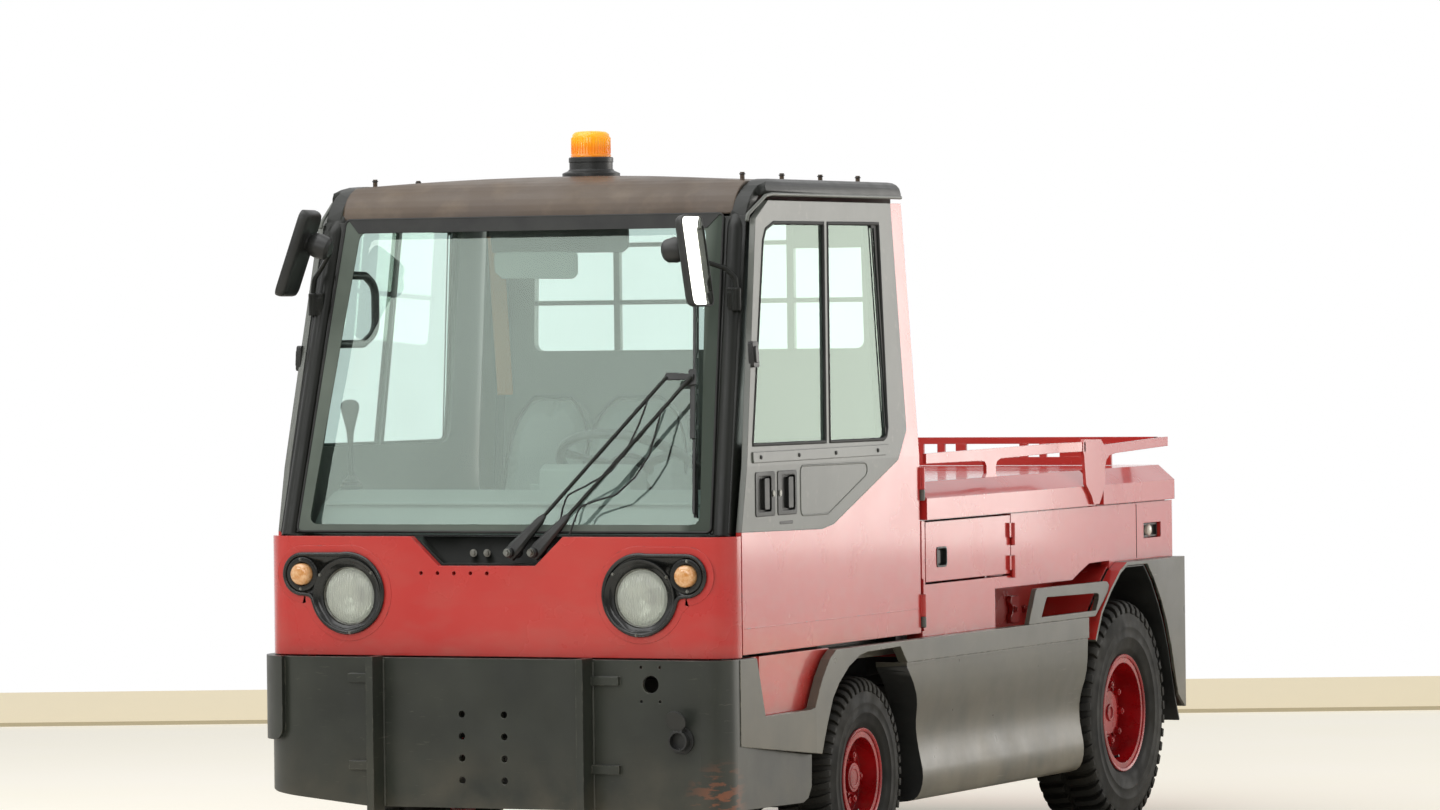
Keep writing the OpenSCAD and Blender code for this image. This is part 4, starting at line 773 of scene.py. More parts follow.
def addLamp(name, at, to, size, power, tone=(1, 1, 1)):
    data = bpy.data.lights.new(name, "AREA")
    data.color = tone
    data.shape, data.size, data.size_y, data.energy = "RECTANGLE", size[0], size[1], power
    lamp = addObject(name, data)
    lamp.location = at
    lamp.rotation_euler = (Vector(to) - Vector(at)).to_track_quat("-Z", "Y").to_euler()


def floorPaint(tree, tones):
    tone = blendColour(tree, patches(tree, 0.8, 0.3, 0.7), *tones)
    lit = addNode(tree, "ShaderNodeBsdfDiffuse", {"Color": tone})
    glow = addNode(tree, "ShaderNodeEmission", {"Color": tone, "Strength": 0.25})
    none = addNode(tree, "ShaderNodeEmission", {"Strength": 0.0})
    seen = addNode(tree, "ShaderNodeLightPath").outputs["Is Camera Ray"]
    extra = addNode(tree, "ShaderNodeMixShader", {0: seen, 1: none, 2: glow})
    return addNode(tree, "ShaderNodeAddShader", {0: lit, 1: extra})


def boardPaint(tree, tone):
    paint = addNode(tree, "ShaderNodeBsdfDiffuse", {"Color": tone})
    shine = addNode(tree, "ShaderNodeEmission", {"Color": tone, "Strength": 0.22})
    return addNode(tree, "ShaderNodeAddShader", {0: paint, 1: shine})


def studioGround(ahead, across):
    ground = {"floor": ("#f3efe2", "#f4f0e6"), "wallDistance": 6.1, "behind": 40, "halfWide": 60,
              "strips": {"skirtingBoard": ("#e9dfc6", 0.014, 0.125, 0.03),   # colour, low, high, off the wall
                         # painted shade: a darker strip in the gap under the skirting board
                         "skirtingGapShade": ("#b9ae92", 0, 0.014, 0.028)}}
    far, wide = ahead * ground["wallDistance"], across * ground["halfWide"]
    near = -ahead * ground["behind"]

    def sheet(name, corners, material):
        bm = bmesh.new()
        bm.faces.new([bm.verts.new((p.x, p.y, z)) for p, z in corners])
        obj = makeObject(bm, name)
        obj.data.materials.append(material)
        return obj

    floor = makeMaterial("studioFloor", floorPaint, tones=ground["floor"])
    made = [sheet("studioFloor", [(p, 0) for p in (far - wide, far + wide, near + wide, near - wide)], floor)]
    for name, (tone, low, high, off) in ground["strips"].items():
        a, b = far - wide - ahead * off, far + wide - ahead * off
        made.append(sheet(name, box(a, low, b, high), makeMaterial(name, boardPaint, tone=tone)))


ahead, across = setCamera()
setWorld()
studioGround(ahead, across)
addLamp("skyPanel", (-1.5, -2.5, 6.5), (0, 0, 0.8), (6, 6), 230)
addLamp("frontPanel", (1.0, -9.0, 4.0), (0, -1, 0.9), (6, 3), 170)
addLamp("sidePanel", (7.5, 9.0, 2.4), (0, 0, 0.9), (7, 4), 310, (1, 0.965, 0.9))
print("camera and light set")


# wheels

tyreLook = {
    "front": {"radius": 265, "bead": 115, "half": 77.5, "rim": 56, "x": 582.5, "y": 860, "lugs": 50,
              "lugDepth": 10, "lugShare": 0.54, "nuts": 5, "nutCircle": 60, "disc": 16, "hub": 36},
    "rear": {"radius": 325, "bead": 153, "half": 95, "rim": 72, "x": 589, "y": 2720, "lugs": 46,
             "lugDepth": 13, "lugShare": 0.56, "nuts": 8, "nutCircle": 80, "disc": 26, "hub": 28}}


def treadedTyre(end, side):
    t = tyreLook[end]
    r, b, h, k, deep = t["radius"], t["bead"], t["half"], t["rim"], t["lugDepth"]
    centre = place(t["x"] * side, t["y"], r)
    body = f"wheel_{end}_{'left' if side > 0 else 'right'}"
    wall = r - b
    half = [(b, k - 1), (b + 3, k + 3), (b + 14, k + 4), (b + 22, k + 6), (b + 26, h - 12), (b + 36, h - 6),
            (b + 0.36 * wall, h - 2.4), (b + 0.37 * wall, h - 1), (b + 0.39 * wall, h - 1),
            (b + 0.4 * wall, h - 2), (b + 0.52 * wall, h - 1.6), (b + 0.54 * wall, h - 0.4),
            (b + 0.56 * wall, h - 0.4), (b + 0.58 * wall, h - 2), (b + 0.7 * wall, h - 3.4),
            (r - 30, h - 8), (r - 22, h - 12), (r - deep - 5, h - 20), (r - deep, h - 32), (r - deep, 8)]
    profile = [(u, -w) for u, w in half] + [(r - deep - 3, -4), (r - deep - 3, 4)] + half[::-1]
    bm = bmesh.new()
    lathe(bm, profile, 112, lambda a, c, w: Vector((w, a, c)) / 1000 + centre)
    carcass = makeObject(bm, f"tyre_carcass_{end}_{side}", 40)
    dress(carcass, "tyre", body, ("tyre_" + body[6:],))

    bm = bmesh.new()
    pitch = 2 * math.pi * r / t["lugs"]
    width = pitch * t["lugShare"]
    lugOutline = [(7, r - deep - 2), (7, r - 1), (h - 34, r - 0.5), (h - 19, r - 4), (h - 8, r - 13),
                  (h - 2.5, r - 26), (h - 2.5, r - 38), (h - 8, r - 40), (h - 22, r - 22),
                  (h - 34, r - deep - 2)]
    for hand, shift in ((1, 0), (-1, pitch / 2)):
        def lug(x, rad, w, hand=hand, shift=shift):
            taper = 1 if rad < r - deep else 0.86
            return Vector((x * hand, w * taper + shift + x * 0.16 * hand, rad)) / 1000
        prism(bm, lugOutline, -width / 2, width / 2, lug)
    source = soften(makeObject(bm, "lug"), 1.4, 1)
    lugs = grow(source, rings, {"Count": t["lugs"], "Centre": tuple(centre), "Axis": (1, 0, 0),
                                "Material": finish["tyre"]}, f"tyre_lugs_{end}_{side}")
    dress(lugs, "tyre", body)


def wheelDetail(end, side):   # dished centre, hub cap, bead flange, nuts on their studs and the valve
    t = tyreLook[end]
    k, disc = t["rim"], t["disc"]
    body = f"wheel_{end}_{'left' if side > 0 else 'right'}"
    centre = place(t["x"] * side, t["y"], t["radius"])
    out = Vector((side, 0, 0))
    turned = lambda a, c, w: Vector((side * w, a, c)) / 1000 + centre
    nuts = []
    for i in range(t["nuts"]):
        a = 2 * math.pi * i / t["nuts"]
        at = centre + Vector((0, math.cos(a), math.sin(a))) * t["nutCircle"] / 1000
        nuts.append((at + out * (disc + 3) / 1000, out))
    boltsAt(f"wheel_nuts_{end}_{side}", nuts, {"radius": 11.5, "height": 17, "washer": 16, "top": 0.86},
            "rim_red", body)
    boltsAt(f"wheel_studs_{end}_{side}", [(p + out * 0.011, way) for p, way in nuts],
            {"radius": 6, "height": 9, "sides": 12, "washer": 5}, "rim_red", body)
    bm = bmesh.new()
    hub = t["hub"]
    face = disc + (25 if end == "front" else 12)
    if end == "rear":   # the dished centre that carries the nuts, out near the rim's edge
        lathe(bm, [(0, disc), (98, disc), (106, disc - 3), (116, disc - 16), (124, disc - 22),
                   (134, disc - 22), (134, disc - 26), (0, disc - 26)], 64, turned)
    lathe(bm, [(0, face - 1), (hub * 0.55, face - 1), (hub * 0.6, face + 3), (hub * 0.82, face + 3),
               (hub * 0.9, face), (hub * 0.9, face - 6), (0, face - 6)], 40, turned)
    bead = t["bead"]
    lathe(bm, [(bead + 9, k + 5), (bead + 14, k + 6), (bead + 16, k + 9), (bead + 14, k + 11),
               (bead + 9, k + 10), (bead + 6, k + 8)], 96, turned)
    piece(bm, f"wheel_flange_{end}_{side}", "rim_red", body, angle=40)
    stem = centre + Vector((side * (disc + 12), 0, -(bead - 22))) / 1000
    tubeAlong(f"tyre_valve_{end}_{side}", [([stem, stem + Vector((side * 26, 0, 7)) / 1000], False)], 4, 0,
              "black_plastic", body, sides=10)


for end in ("front", "rear"):
    for side in (1, -1):
        treadedTyre(end, side)
        wheelDetail(end, side)
print("wheels made")


# lamps

lampLook = {"x": 415, "z": 772, "radius": 73, "flasherX": 545, "flasherZ": 828, "flasherRadius": 29,
            "sunk": 12, "bowl": 104, "bowlRise": 8, "flasherBowl": 54, "flute": 1.2, "flutePitch": 7}


def lampPoint(x, z, side):   # a ring about a lamp, whose depth runs back from the panel
    return lambda a, b, w: place(side * (x + a), w, z + b)


def podOutline(grow=0):   # round the headlamp's bowl, into the waist, and round the flasher
    x, z, fx, fz = (lampLook[k] for k in ("x", "z", "flasherX", "flasherZ"))
    big, small = lampLook["bowl"] + grow, lampLook["flasherBowl"] + grow
    z += lampLook["bowlRise"]
    points = [(x + big * math.cos(math.radians(a)), z + big * math.sin(math.radians(a)))
              for a in np.linspace(80, 338, 44)]
    points += [(fx - 25 + grow, fz - 64 - grow), (fx - 16 + grow, fz - 56 - grow)]
    points += [(fx + small * math.cos(math.radians(a)), fz + small * math.sin(math.radians(a)))
               for a in np.linspace(-95, 88, 22)]
    return points


def lampPod(side, name):   # moulded bowl round both lamps, with a red flange to the panel's opening
    x, z, r = lampLook["x"], lampLook["z"], lampLook["radius"]
    toPoint = lambda u, v, w: place(side * u, w, v)
    bm = bmesh.new()
    prism(bm, podOutline(-1), -3, 34, toPoint)
    pod = makeObject(bm, f"lamp_pod_{name}")
    bm = bmesh.new()
    for fx, fz, radius in ((x, z, r + 3),
                           (lampLook["flasherX"], lampLook["flasherZ"], lampLook["flasherRadius"] + 1)):
        lathe(bm, box(0, -20, radius, 60), 64, lampPoint(fx, fz, side))
    cut = makeObject(bm, "lamp_openings")
    hole = pod.modifiers.new("openings", "BOOLEAN")
    hole.operation, hole.object, hole.solver = "DIFFERENCE", cut, "EXACT"
    pod.data = evaluated(pod)
    pod.modifiers.clear()
    bpy.data.objects.remove(cut, do_unlink=True)
    dress(pod, "podBlack", stands=onLeft(side, "lamp_pods"))
    bm = bmesh.new()
    frameRing(bm, podOutline(20), podOutline(-3), -1, 1.5, toPoint)
    piece(bm, f"pod_flange_{name}", "paint_red")
    rim = [place(side * px, -6, pz) for px, pz in podOutline(-3)]
    tubeAlong(f"pod_rim_{name}", [(rim, True)], 5.5, 0, "podBlack", sides=14)


def lampGlass(side, name):   # domed glass with upright flutes pressed into it
    x, z, r, sunk = (lampLook[k] for k in ("x", "z", "radius", "sunk"))
    dome = [(0, -18), (22, -17), (44, -14), (60, -9.5), (r - 3, -4), (r - 1, 0)]
    at = lampPoint(x, z, side)
    bm = bmesh.new()
    back = [(r - 4, 3), (60, -5), (44, -9.5), (22, -12.5), (0, -13.5)]
    lathe(bm, [(u, w + sunk) for u, w in dome + back], 64, at)
    piece(bm, f"lamp_glass_{name}", "lamp_glass", angle=60, stands=onLeft(side, "headlamps"))
    flutes = []
    edge = r - 5
    for i in range(-9, 10):
        a = i * lampLook["flutePitch"]
        reach = math.sqrt(edge * edge - a * a)
        line = [at(a, v, np.interp(math.hypot(a, v), [u for u, w in dome], [w for u, w in dome]) + sunk)
                for v in np.linspace(-reach, reach, 13)]
        flutes.append((line, False))
    tubeAlong(f"lamp_flutes_{name}", flutes, lampLook["flute"], 0, "lamp_glass", sides=6)


def headlamp(side, name):
    x, z, r, sunk = (lampLook[k] for k in ("x", "z", "radius", "sunk"))
    at = lampPoint(x, z, side)
    lampPod(side, name)
    lampGlass(side, name)
    bm = bmesh.new()
    bowl = [(r - 5, 0), (r - 12, 14), (r - 26, 28), (r - 46, 39), (18, 43), (18, 47), (r - 44, 43),
            (r - 22, 32), (r - 8, 16), (r - 1, 0)]
    lathe(bm, [(u, w + sunk) for u, w in bowl], 48, at)
    lathe(bm, [(0, 20 + sunk), (9, 20 + sunk), (11, 23 + sunk), (11, 44 + sunk), (0, 44 + sunk)], 24, at)
    piece(bm, f"lamp_reflector_{name}", "chrome", angle=50)
    bm = bmesh.new()
    bezel = [(r - 2, -1), (r - 1, -4), (r + 1, -5), (r + 3, -4), (r + 3.5, 0), (r + 1, 2)]
    lathe(bm, [(u, w + sunk) for u, w in bezel], 64, at)
    piece(bm, f"lamp_bezel_{name}", "steel", angle=60)
    bm = bmesh.new()
    lathe(bm, [(r + 3.6, sunk - 2), (r + 6, sunk - 5), (r + 20, -10), (r + 24, -11), (r + 26, -8),
               (r + 26, -2), (r + 4, sunk + 4)], 72, at)
    fx, fz, fr = lampLook["flasherX"], lampLook["flasherZ"], lampLook["flasherRadius"]
    flasher = lampPoint(fx, fz, side)
    lathe(bm, [(fr + 1, -3.2), (fr + 2, -9), (fr + 9, -10), (fr + 14, -9), (fr + 16, -6), (fr + 15, -3.2)],
          48, flasher)
    piece(bm, f"lamp_surround_{name}", "podBlack", angle=40)
    bm = bmesh.new()
    lens = [(0, -30), (14, -29.4), (23, -26.5), (fr - 2, -21), (fr - 1, -12), (fr - 1, 0), (0, 0)]
    lathe(bm, lens, 40, flasher)
    piece(bm, f"flasher_lens_{name}", "paleAmber", angle=60, stands=onLeft(side, "indicators"))
    screws = []
    for a in (35, 140, 265):
        c, s = math.cos(math.radians(a)), math.sin(math.radians(a))
        screws.append((place(side * (x + 94 * c), -10, z + 94 * s), (0, -1, 0)))
    for s in (1, -1):
        screws.append((place(side * (fx + 4), -9, fz + s * 38), (0, -1, 0)))
    boltsAt(f"lamp_screws_{name}", screws,
            {"radius": 3.6, "height": 4, "sides": 16, "washer": 4.2, "top": 0.7}, "steel")


for side, name in ((1, "left"), (-1, "right")):
    headlamp(side, name)
print("front lamps made")


# beacon

beaconLook = {"x": 0, "y": 610, "low": 1901.9, "radius": 53, "height": 69, "ribs": 40}


def beacon():
    b = beaconLook
    at = lambda a, c, w: place(b["x"] + a, b["y"] + c, b["low"] + w)
    bm = bmesh.new()
    r = b["radius"]
    lathe(bm, [(0, 0.3), (r, 0.3), (r, 6), (r - 2, 8), (r - 2.6, 50), (r - 5, 60), (r - 12, 66),
               (r - 30, 68.4), (0, b["height"])], 64, at)
    piece(bm, "beacon_dome", "amber_lens", angle=50, stands=("beacon_lens",))
    bm = bmesh.new()
    prism(bm, [(-1.6, 0), (1.6, 0), (1.0, 1.8), (-1.0, 1.8)], 9, 51,
          lambda u, v, w: Vector((u, r - 2.6 + v, w)) / 1000)
    centre = place(b["x"], b["y"], b["low"])
    ribs = grow(makeObject(bm, "rib"), rings, {"Count": b["ribs"], "Centre": tuple(centre), "Axis": (0, 0, 1),
                                               "Material": finish["amber_lens"]}, "beacon_ribs")
    dress(ribs, "amber_lens")
    bm = bmesh.new()
    foot = lambda a, c, w: place(b["x"] + a, b["y"] + c, 1847.4 + w)
    lathe(bm, [(74, 3.5), (74.5, 12), (66, 15), (61, 17), (59, 22), (58, 20), (62, 14), (72, 10)], 56, foot)
    lathe(bm, [(57.2, 40), (58.6, 41), (58.6, 52), (57.2, 53.5), (55, 54), (55, 40)], 56, foot)
    piece(bm, "beacon_collar", "black_plastic", angle=40)


beacon()
print("beacon made")


# mirrors

mirrorLook = {
    "y": 50, "thick": 28, "halfWide": 68, "halfTall": 117, "corner": 24, "arm": 6,
    "left": {"x": 550, "z": 1620, "lean": -8, "turn": 1,
             "tube": ((606, 186, 1505), (606, 186, 1552), (603, 186, 1578), (578, 178, 1602),
                      (530, 120, 1625), (490, 60, 1650))},
    "right": {"x": 572, "z": 1654, "lean": -19, "turn": -10,
              "tube": ((606, 186, 1505), (606, 186, 1560), (602, 186, 1588), (584, 186, 1611),
                       (530, 140, 1655), (490, 60, 1690))}}


def mirrorHead(side, name):   # moulded shell, deep at the back, with its glass on the outer face
    m = mirrorLook
    own = m[name]
    turn = Matrix.Rotation(math.radians(own["turn"]), 3, "Z")
    turn = turn @ Matrix.Rotation(math.radians(own["lean"]), 3, "Y")
    centre = Vector((own["x"], m["y"] - panelY, own["z"]))

    def at(u, v, w):   # u across the glass, v up, w out of it
        p = centre + turn @ Vector((w, u, v))
        return Vector((p.x * side, p.y, p.z)) / 1000

    def outline(shrink):
        a, b, c = m["halfWide"] - shrink, m["halfTall"] - shrink, max(6, m["corner"] - shrink * 0.6)
        return roundedBox(-a, -b, a, b, c, 5)

    half = m["thick"] / 2
    steps = [(26, -half + 1), (13, -half + 1.8), (6, -half + 5), (2, -half + 11), (0.4, -half + 17),
             (0.2, half - 5), (1, half - 1.5), (2.4, half - 0.8), (4, half - 1.4), (5, half - 4)]
    bm = bmesh.new()
    loft(bm, [[at(u, v, w) for u, v in outline(shrink)] for shrink, w in steps])
    piece(bm, f"mirror_shell_{name}", "black_plastic", angle=40, stands=onLeft(side, "mirror_heads"))
    bm = bmesh.new()
    prism(bm, outline(5.2), half - 3.9, half - 1.8, at)
    piece(bm, f"mirror_glass_{name}", "mirrorSilver", angle=30)
    bm = bmesh.new()
    joint = lambda a, c, w: at(a, c + 36, w)
    lathe(bm, [(0, -half - 62), (22, -half - 62), (30, -half - 54), (33, -half - 30), (30, -half - 12),
               (24, -half - 4), (24, -half + 3), (0, -half + 3)], 12, joint)
    piece(bm, f"mirror_joint_{name}", "black_plastic", edge=(1.5, 2), angle=40)


def mirrorArm(side, name):   # bent tube in a split clamp on the pillar
    points = [place(side * x, y, z) for x, y, z in mirrorLook[name]["tube"]]
    bm = bmesh.new()
    for x, y, r in ((606, 186, 12), (588, 194, 12)):
        lathe(bm, [(0, 1494), (r, 1494), (r, 1550), (r - 3, 1553), (0, 1553)], 20,
              lambda a, c, w, x=x, y=y: place(side * (x + a), y + c, w))
    block(bm, (582, 182, 1506), (610, 200, 1540), lambda x, y, z: place(side * x, y, z))
    piece(bm, f"mirror_clamp_{name}", "cabBlack", edge=(1.2, 1), angle=40, stands=onLeft(side, "mirror_arms"))
    tubeAlong(f"mirror_arm_{name}", [(points, False)], mirrorLook["arm"], 16, "cabBlack", sides=14)


for side, name in ((1, "left"), (-1, "right")):
    mirrorHead(side, name)
    mirrorArm(side, name)
print("mirrors made")


# glazing seals and trim

sealLook = {"foot": 584, "head": 537, "slope": 836}
paneLine = [(157, 1150), (1007, 1146), (1030, 1154), (1042, 1178), (1061, 1724), (372, 1722),
            (318, 1704), (296, 1673)]


def windscreenSeal():   # bead round the glass, the pale frame seen through its edge, and a dark head strip
    g = sealLook
    outer = [(-g["foot"] - 4, -1), (g["foot"] + 4, -1), (g["head"] + 2, g["slope"]),
             (-g["head"] - 2, g["slope"])]
    clear = [(-556, 22), (556, 22), (496, 800), (-496, 800)]
    bm = bmesh.new()
    frameRing(bm, roundCorners(outer, 12, 8), roundCorners(clear, 26, 8), -28, -24.3, screenPoint)
    piece(bm, "windscreen_border", "paleBorder", edge=(1, 1), angle=40)
    bm = bmesh.new()
    prism(bm, [(-500, 797), (500, 797), (534, 834), (-534, 834)], -30, -28.2, screenPoint)
    piece(bm, "windscreen_head_strip", "rubber", edge=(0.6, 1))
    lip = roundCorners([(-589, 2), (589, 2), (541, 834), (-541, 834)], 16, 8)
    lip = [screenPoint(u, v, -27) for u, v in lip]
    tubeAlong("windscreen_bead", [(lip, True)], 3.6, 0, "rubber", sides=10)
    pillar = ((614, -8, -14), (575, 800, -14), (566, 846, 12))
    pillars = [([screenPoint(s * u, v, w) for u, v, w in pillar], False) for s in (1, -1)]
    tubeAlong("pillar_tubes", pillars, 23.5, 30, "cabBlack", sides=28)


def divider(z):
    return 630 + (z - 1150) * 0.119


def doorPanes():   # the two panes that the upright bar leaves
    front = [p for p in paneLine if p[0] < 600]
    back = [p for p in paneLine if p[0] > 600]
    frontPane = [(157, 1150), (divider(1147.5) - 1, 1147.5), (divider(1722.6) - 1, 1722.6)] + front[1:]
    backPane = [(divider(1147) + 17, 1147)] + back + [(divider(1723) + 17, 1723)]
    return frontPane, backPane


def doorSeals():
    for side, name, toPoint in bothSides(cabSidePoint):
        beads = []
        for pane in doorPanes():
            beads.append(([toPoint(y, z, 2.5) for y, z in inset(pane, 4)], True))
        tubeAlong(f"pane_seal_{name}", beads, 5, 6, "rubber", f"door_{name}", sides=10)
        bm = bmesh.new()
        frameRing(bm, [(1010, 1716), (1034, 1717), (1044, 1180), (1022, 1162)],
                  [(1014, 1708), (1027, 1709), (1036, 1186), (1026, 1176)], 1.0, 3.0, toPoint)
        prism(bm, [(1034, 1717), (1052, 1712), (1037, 1183), (1044, 1180)], 3.5, 5.5, toPoint)
        piece(bm, f"pane_slide_{name}", "rubber", f"door_{name}")


windscreenSeal()
doorSeals()
print("seals made")


# wiper

wiperLook = {"section": ((-1, -0.7), (1, -0.7), (1, 0.5), (0.55, 1), (-0.55, 1), (-1, 0.5)),
             "heads": ((-14, 17, 13), (14, 18, 14), (60, 14, 12), (112, 10, 8), (126, 6.5, 5)),
             "feet": (49, 116), "tips": (435, 504), "footZ": 886, "tipY": 131, "tipZ": 1329, "rod": 5,
             "blade": 535, "bladeLean": 0.0957, "bladeLow": 45, "bladeHigh": 604, "claws": 6, "hose": 2.6,
             "hoses": (((390, 343), (372, 281), (345, 213), (306, 156), (237, 117), (189, 94),
                        (180, 62), (172, -12)),
                       ((432, 322), (419, 255), (408, 198), (375, 141), (324, 94), (266, 78),
                        (226, 63), (205, -12)))}


def wiper():   # two parallel arms with thick heads, a link plate, the blade and its washer hoses
    w = wiperLook
    bm = bmesh.new()
    rods, screws = [], []
    for x, tipX in zip(w["feet"], w["tips"]):
        foot, tip = Vector((x, 12, w["footZ"])), Vector((tipX, w["tipY"], w["tipZ"]))
        along = (tip - foot).normalized()
        side = along.cross(Vector((0, 1, 0))).normalized()
        out = side.cross(along).normalized()
        if out.y > 0:
            out = -out

        def armPoint(u, v, d, foot=foot, along=along, side=side, out=out):   # across, along, out of the arm
            return place(*(foot + side * u + along * v + out * d))
        loft(bm, [[armPoint(u * half, v, d * deep) for u, d in w["section"]] for v, half, deep in w["heads"]])
        lathe(bm, [(0, -16), (9, -16), (13, -11), (13, 30), (17, 33), (17, 44), (0, 44)], 24,
              lambda a, c, d, x=x: place(x + a, d, w["footZ"] + c))
        rods.append(([place(*(foot + along * 110)), place(*tip)], False))
        screws.append((place(x, -17, w["footZ"]), (0, -1, 0)))
    onBlade = lambda u, s, d: screenPoint(w["blade"] - (s - w["bladeLow"]) * w["bladeLean"] + u, s, d)
    prism(bm, [(430, 394), (508, 396), (508, 410), (430, 414)], -46, -38, screenPoint)
    prism(bm, [(488, 380), (516, 384), (512, 424), (490, 424)], -40, -32, screenPoint)
    block(bm, (-7, w["bladeLow"] + 200, -34), (7, w["bladeHigh"] - 205, -24), onBlade)
    span = w["bladeHigh"] - w["bladeLow"]
    block(bm, (-4, w["bladeLow"] + 6, -25), (4, w["bladeHigh"] - 6, -17), onBlade)
    for i in range(w["claws"]):
        s = w["bladeLow"] + span * (i + 0.5) / w["claws"]
        block(bm, (-5.5, s - 6, -20), (5.5, s + 6, -8), onBlade)
    piece(bm, "wiper_arms", "black_plastic", edge=(1.2, 1), angle=35, slot="black_paint", stands=("wiper",))
    tubeAlong("wiper_rods", rods, w["rod"], 0, "cabBlack")
    bm = bmesh.new()
    prism(bm, [(-4.5, -14), (4.5, -14), (3.5, -6), (1, -1), (0.7, 3.4), (-0.7, 3.4), (-1, -1), (-3.5, -6)],
          w["bladeLow"], w["bladeHigh"], lambda u, d, s: onBlade(u, s, d))
    piece(bm, "wiper_rubber", "rubber")
    boltsAt("wiper_nuts", screws, {"radius": 8, "height": 9, "washer": 10}, "steel")
    hoses = [([screenPoint(x, s, -50) for x, s in line], False) for line in w["hoses"]]
    tubeAlong("washer_hoses", hoses, w["hose"], 30, "rubber", sides=8)


wiper()
print("wiper made")


# doors: grips, locks, sill rail, latch

doorLook = {"pockets": (172, 310), "pocketWide": 112, "pocketLow": 976, "pocketHigh": 1080,
            "rail": (1108, 1136), "railScrews": (200, 440, 677, 955)}


def doorGrips(side, name, toPoint):
    d = doorLook
    body = f"door_{name}"
    cups, plates = bmesh.new(), bmesh.new()
    locks = []
    for y, lockAt in zip(d["pockets"], (104, 8)):
        low, high, far = d["pocketLow"], d["pocketHigh"], y + d["pocketWide"]
        outer = roundedBox(y - 5, low - 5, far + 5, high + 5, 9)
        gapFrom, gapTo = (y + 8, far - 20) if lockAt > 50 else (y + 20, far - 8)
        hole = roundedBox(gapFrom, low + 7, gapTo, high - 7, 8)
        frameRing(plates, outer, hole, -1.8, 2.5, toPoint)
        prism(cups, box(y + 1, low + 1, far - 1, high - 1), 9.6, 10.8, toPoint)
        pull = roundedBox(gapTo - 36, low + 12, gapTo - 6, high - 12, 5, 3)
        prism(cups, pull, 0.2, 9.7, toPoint)
        locks.append((toPoint(y + lockAt, (low + high) / 2, -2.2), (side, 0, 0)))
    piece(plates, f"grip_plates_{name}", "cabBlack", body, edge=(0.8, 1), slot="black_plastic")
    piece(cups, f"grip_cups_{name}", "black_plastic", body, edge=(1.5, 1))
    boltsAt(f"door_locks_{name}", locks, {"radius": 7.5, "height": 2.5, "sides": 20, "washer": 8.5}, "steel",
            body)
    bm = bmesh.new()
    z0, z1 = d["rail"]
    prism(bm, roundCorners([(153, z0), (1010, z0), (1040, z1), (153, z1)], 5, 2), -4, 1, toPoint)
    piece(bm, f"sill_rail_{name}", "sash_grey", body, edge=(1.2, 1))
    screws = [(toPoint(y, (z0 + z1) / 2, -4.6), (side, 0, 0)) for y in d["railScrews"]]
    boltsAt(f"sill_screws_{name}", screws,
            {"radius": 4.5, "height": 3, "sides": 16, "washer": 5.5, "top": 0.6}, "black_plastic", body)
    swage = [toPoint(y, z, 0.6) for y, z in ((452, 1094), (968, 1091), (632, 966), (452, 966))]
    tubeAlong(f"sash_swage_{name}", [(swage, True)], 2.6, 18, "sash_grey", body, sides=10)
    hem = [toPoint(y, 692, 0.7) for y in (92, 1232)]
    tubeAlong(f"door_hem_{name}", [(hem, False)], 1.7, 0, "paint_red", body, sides=8)
    bm = bmesh.new()
    prism(bm, roundedBox(178, 1350, 214, 1416, 8, 3), -9, 5, toPoint)
    prism(bm, roundedBox(185, 1362, 203, 1404, 5, 3), -14, -8.5, toPoint)
    prism(bm, roundedBox(318, 948, 402, 956, 3.5, 3), -0.7, 0.6, toPoint)
    piece(bm, f"window_latch_{name}", "black_plastic", body, edge=(1.2, 1))


for which in bothSides(cabSidePoint):
    doorGrips(*which)
print("door fittings made")


# roof and cab trim

trimLook = {"gutter": ((244, 1722), (250, 1738), (337, 1787), (372, 1791), (1222, 1791)),
            "gutterX": (611, 622.5), "studs": (400, 650, 900, 1150), "studX": 529.8, "studZ": 1845,
            "cowlBolts": (-41, -80, 150),
            "cowlY": 52, "cowlZ": 882, "beltHalf": 23, "beltThick": 2,
            "belt": ((-462, 1180, 1735), (-430, 905, 1700), (-418, 930, 1275))}


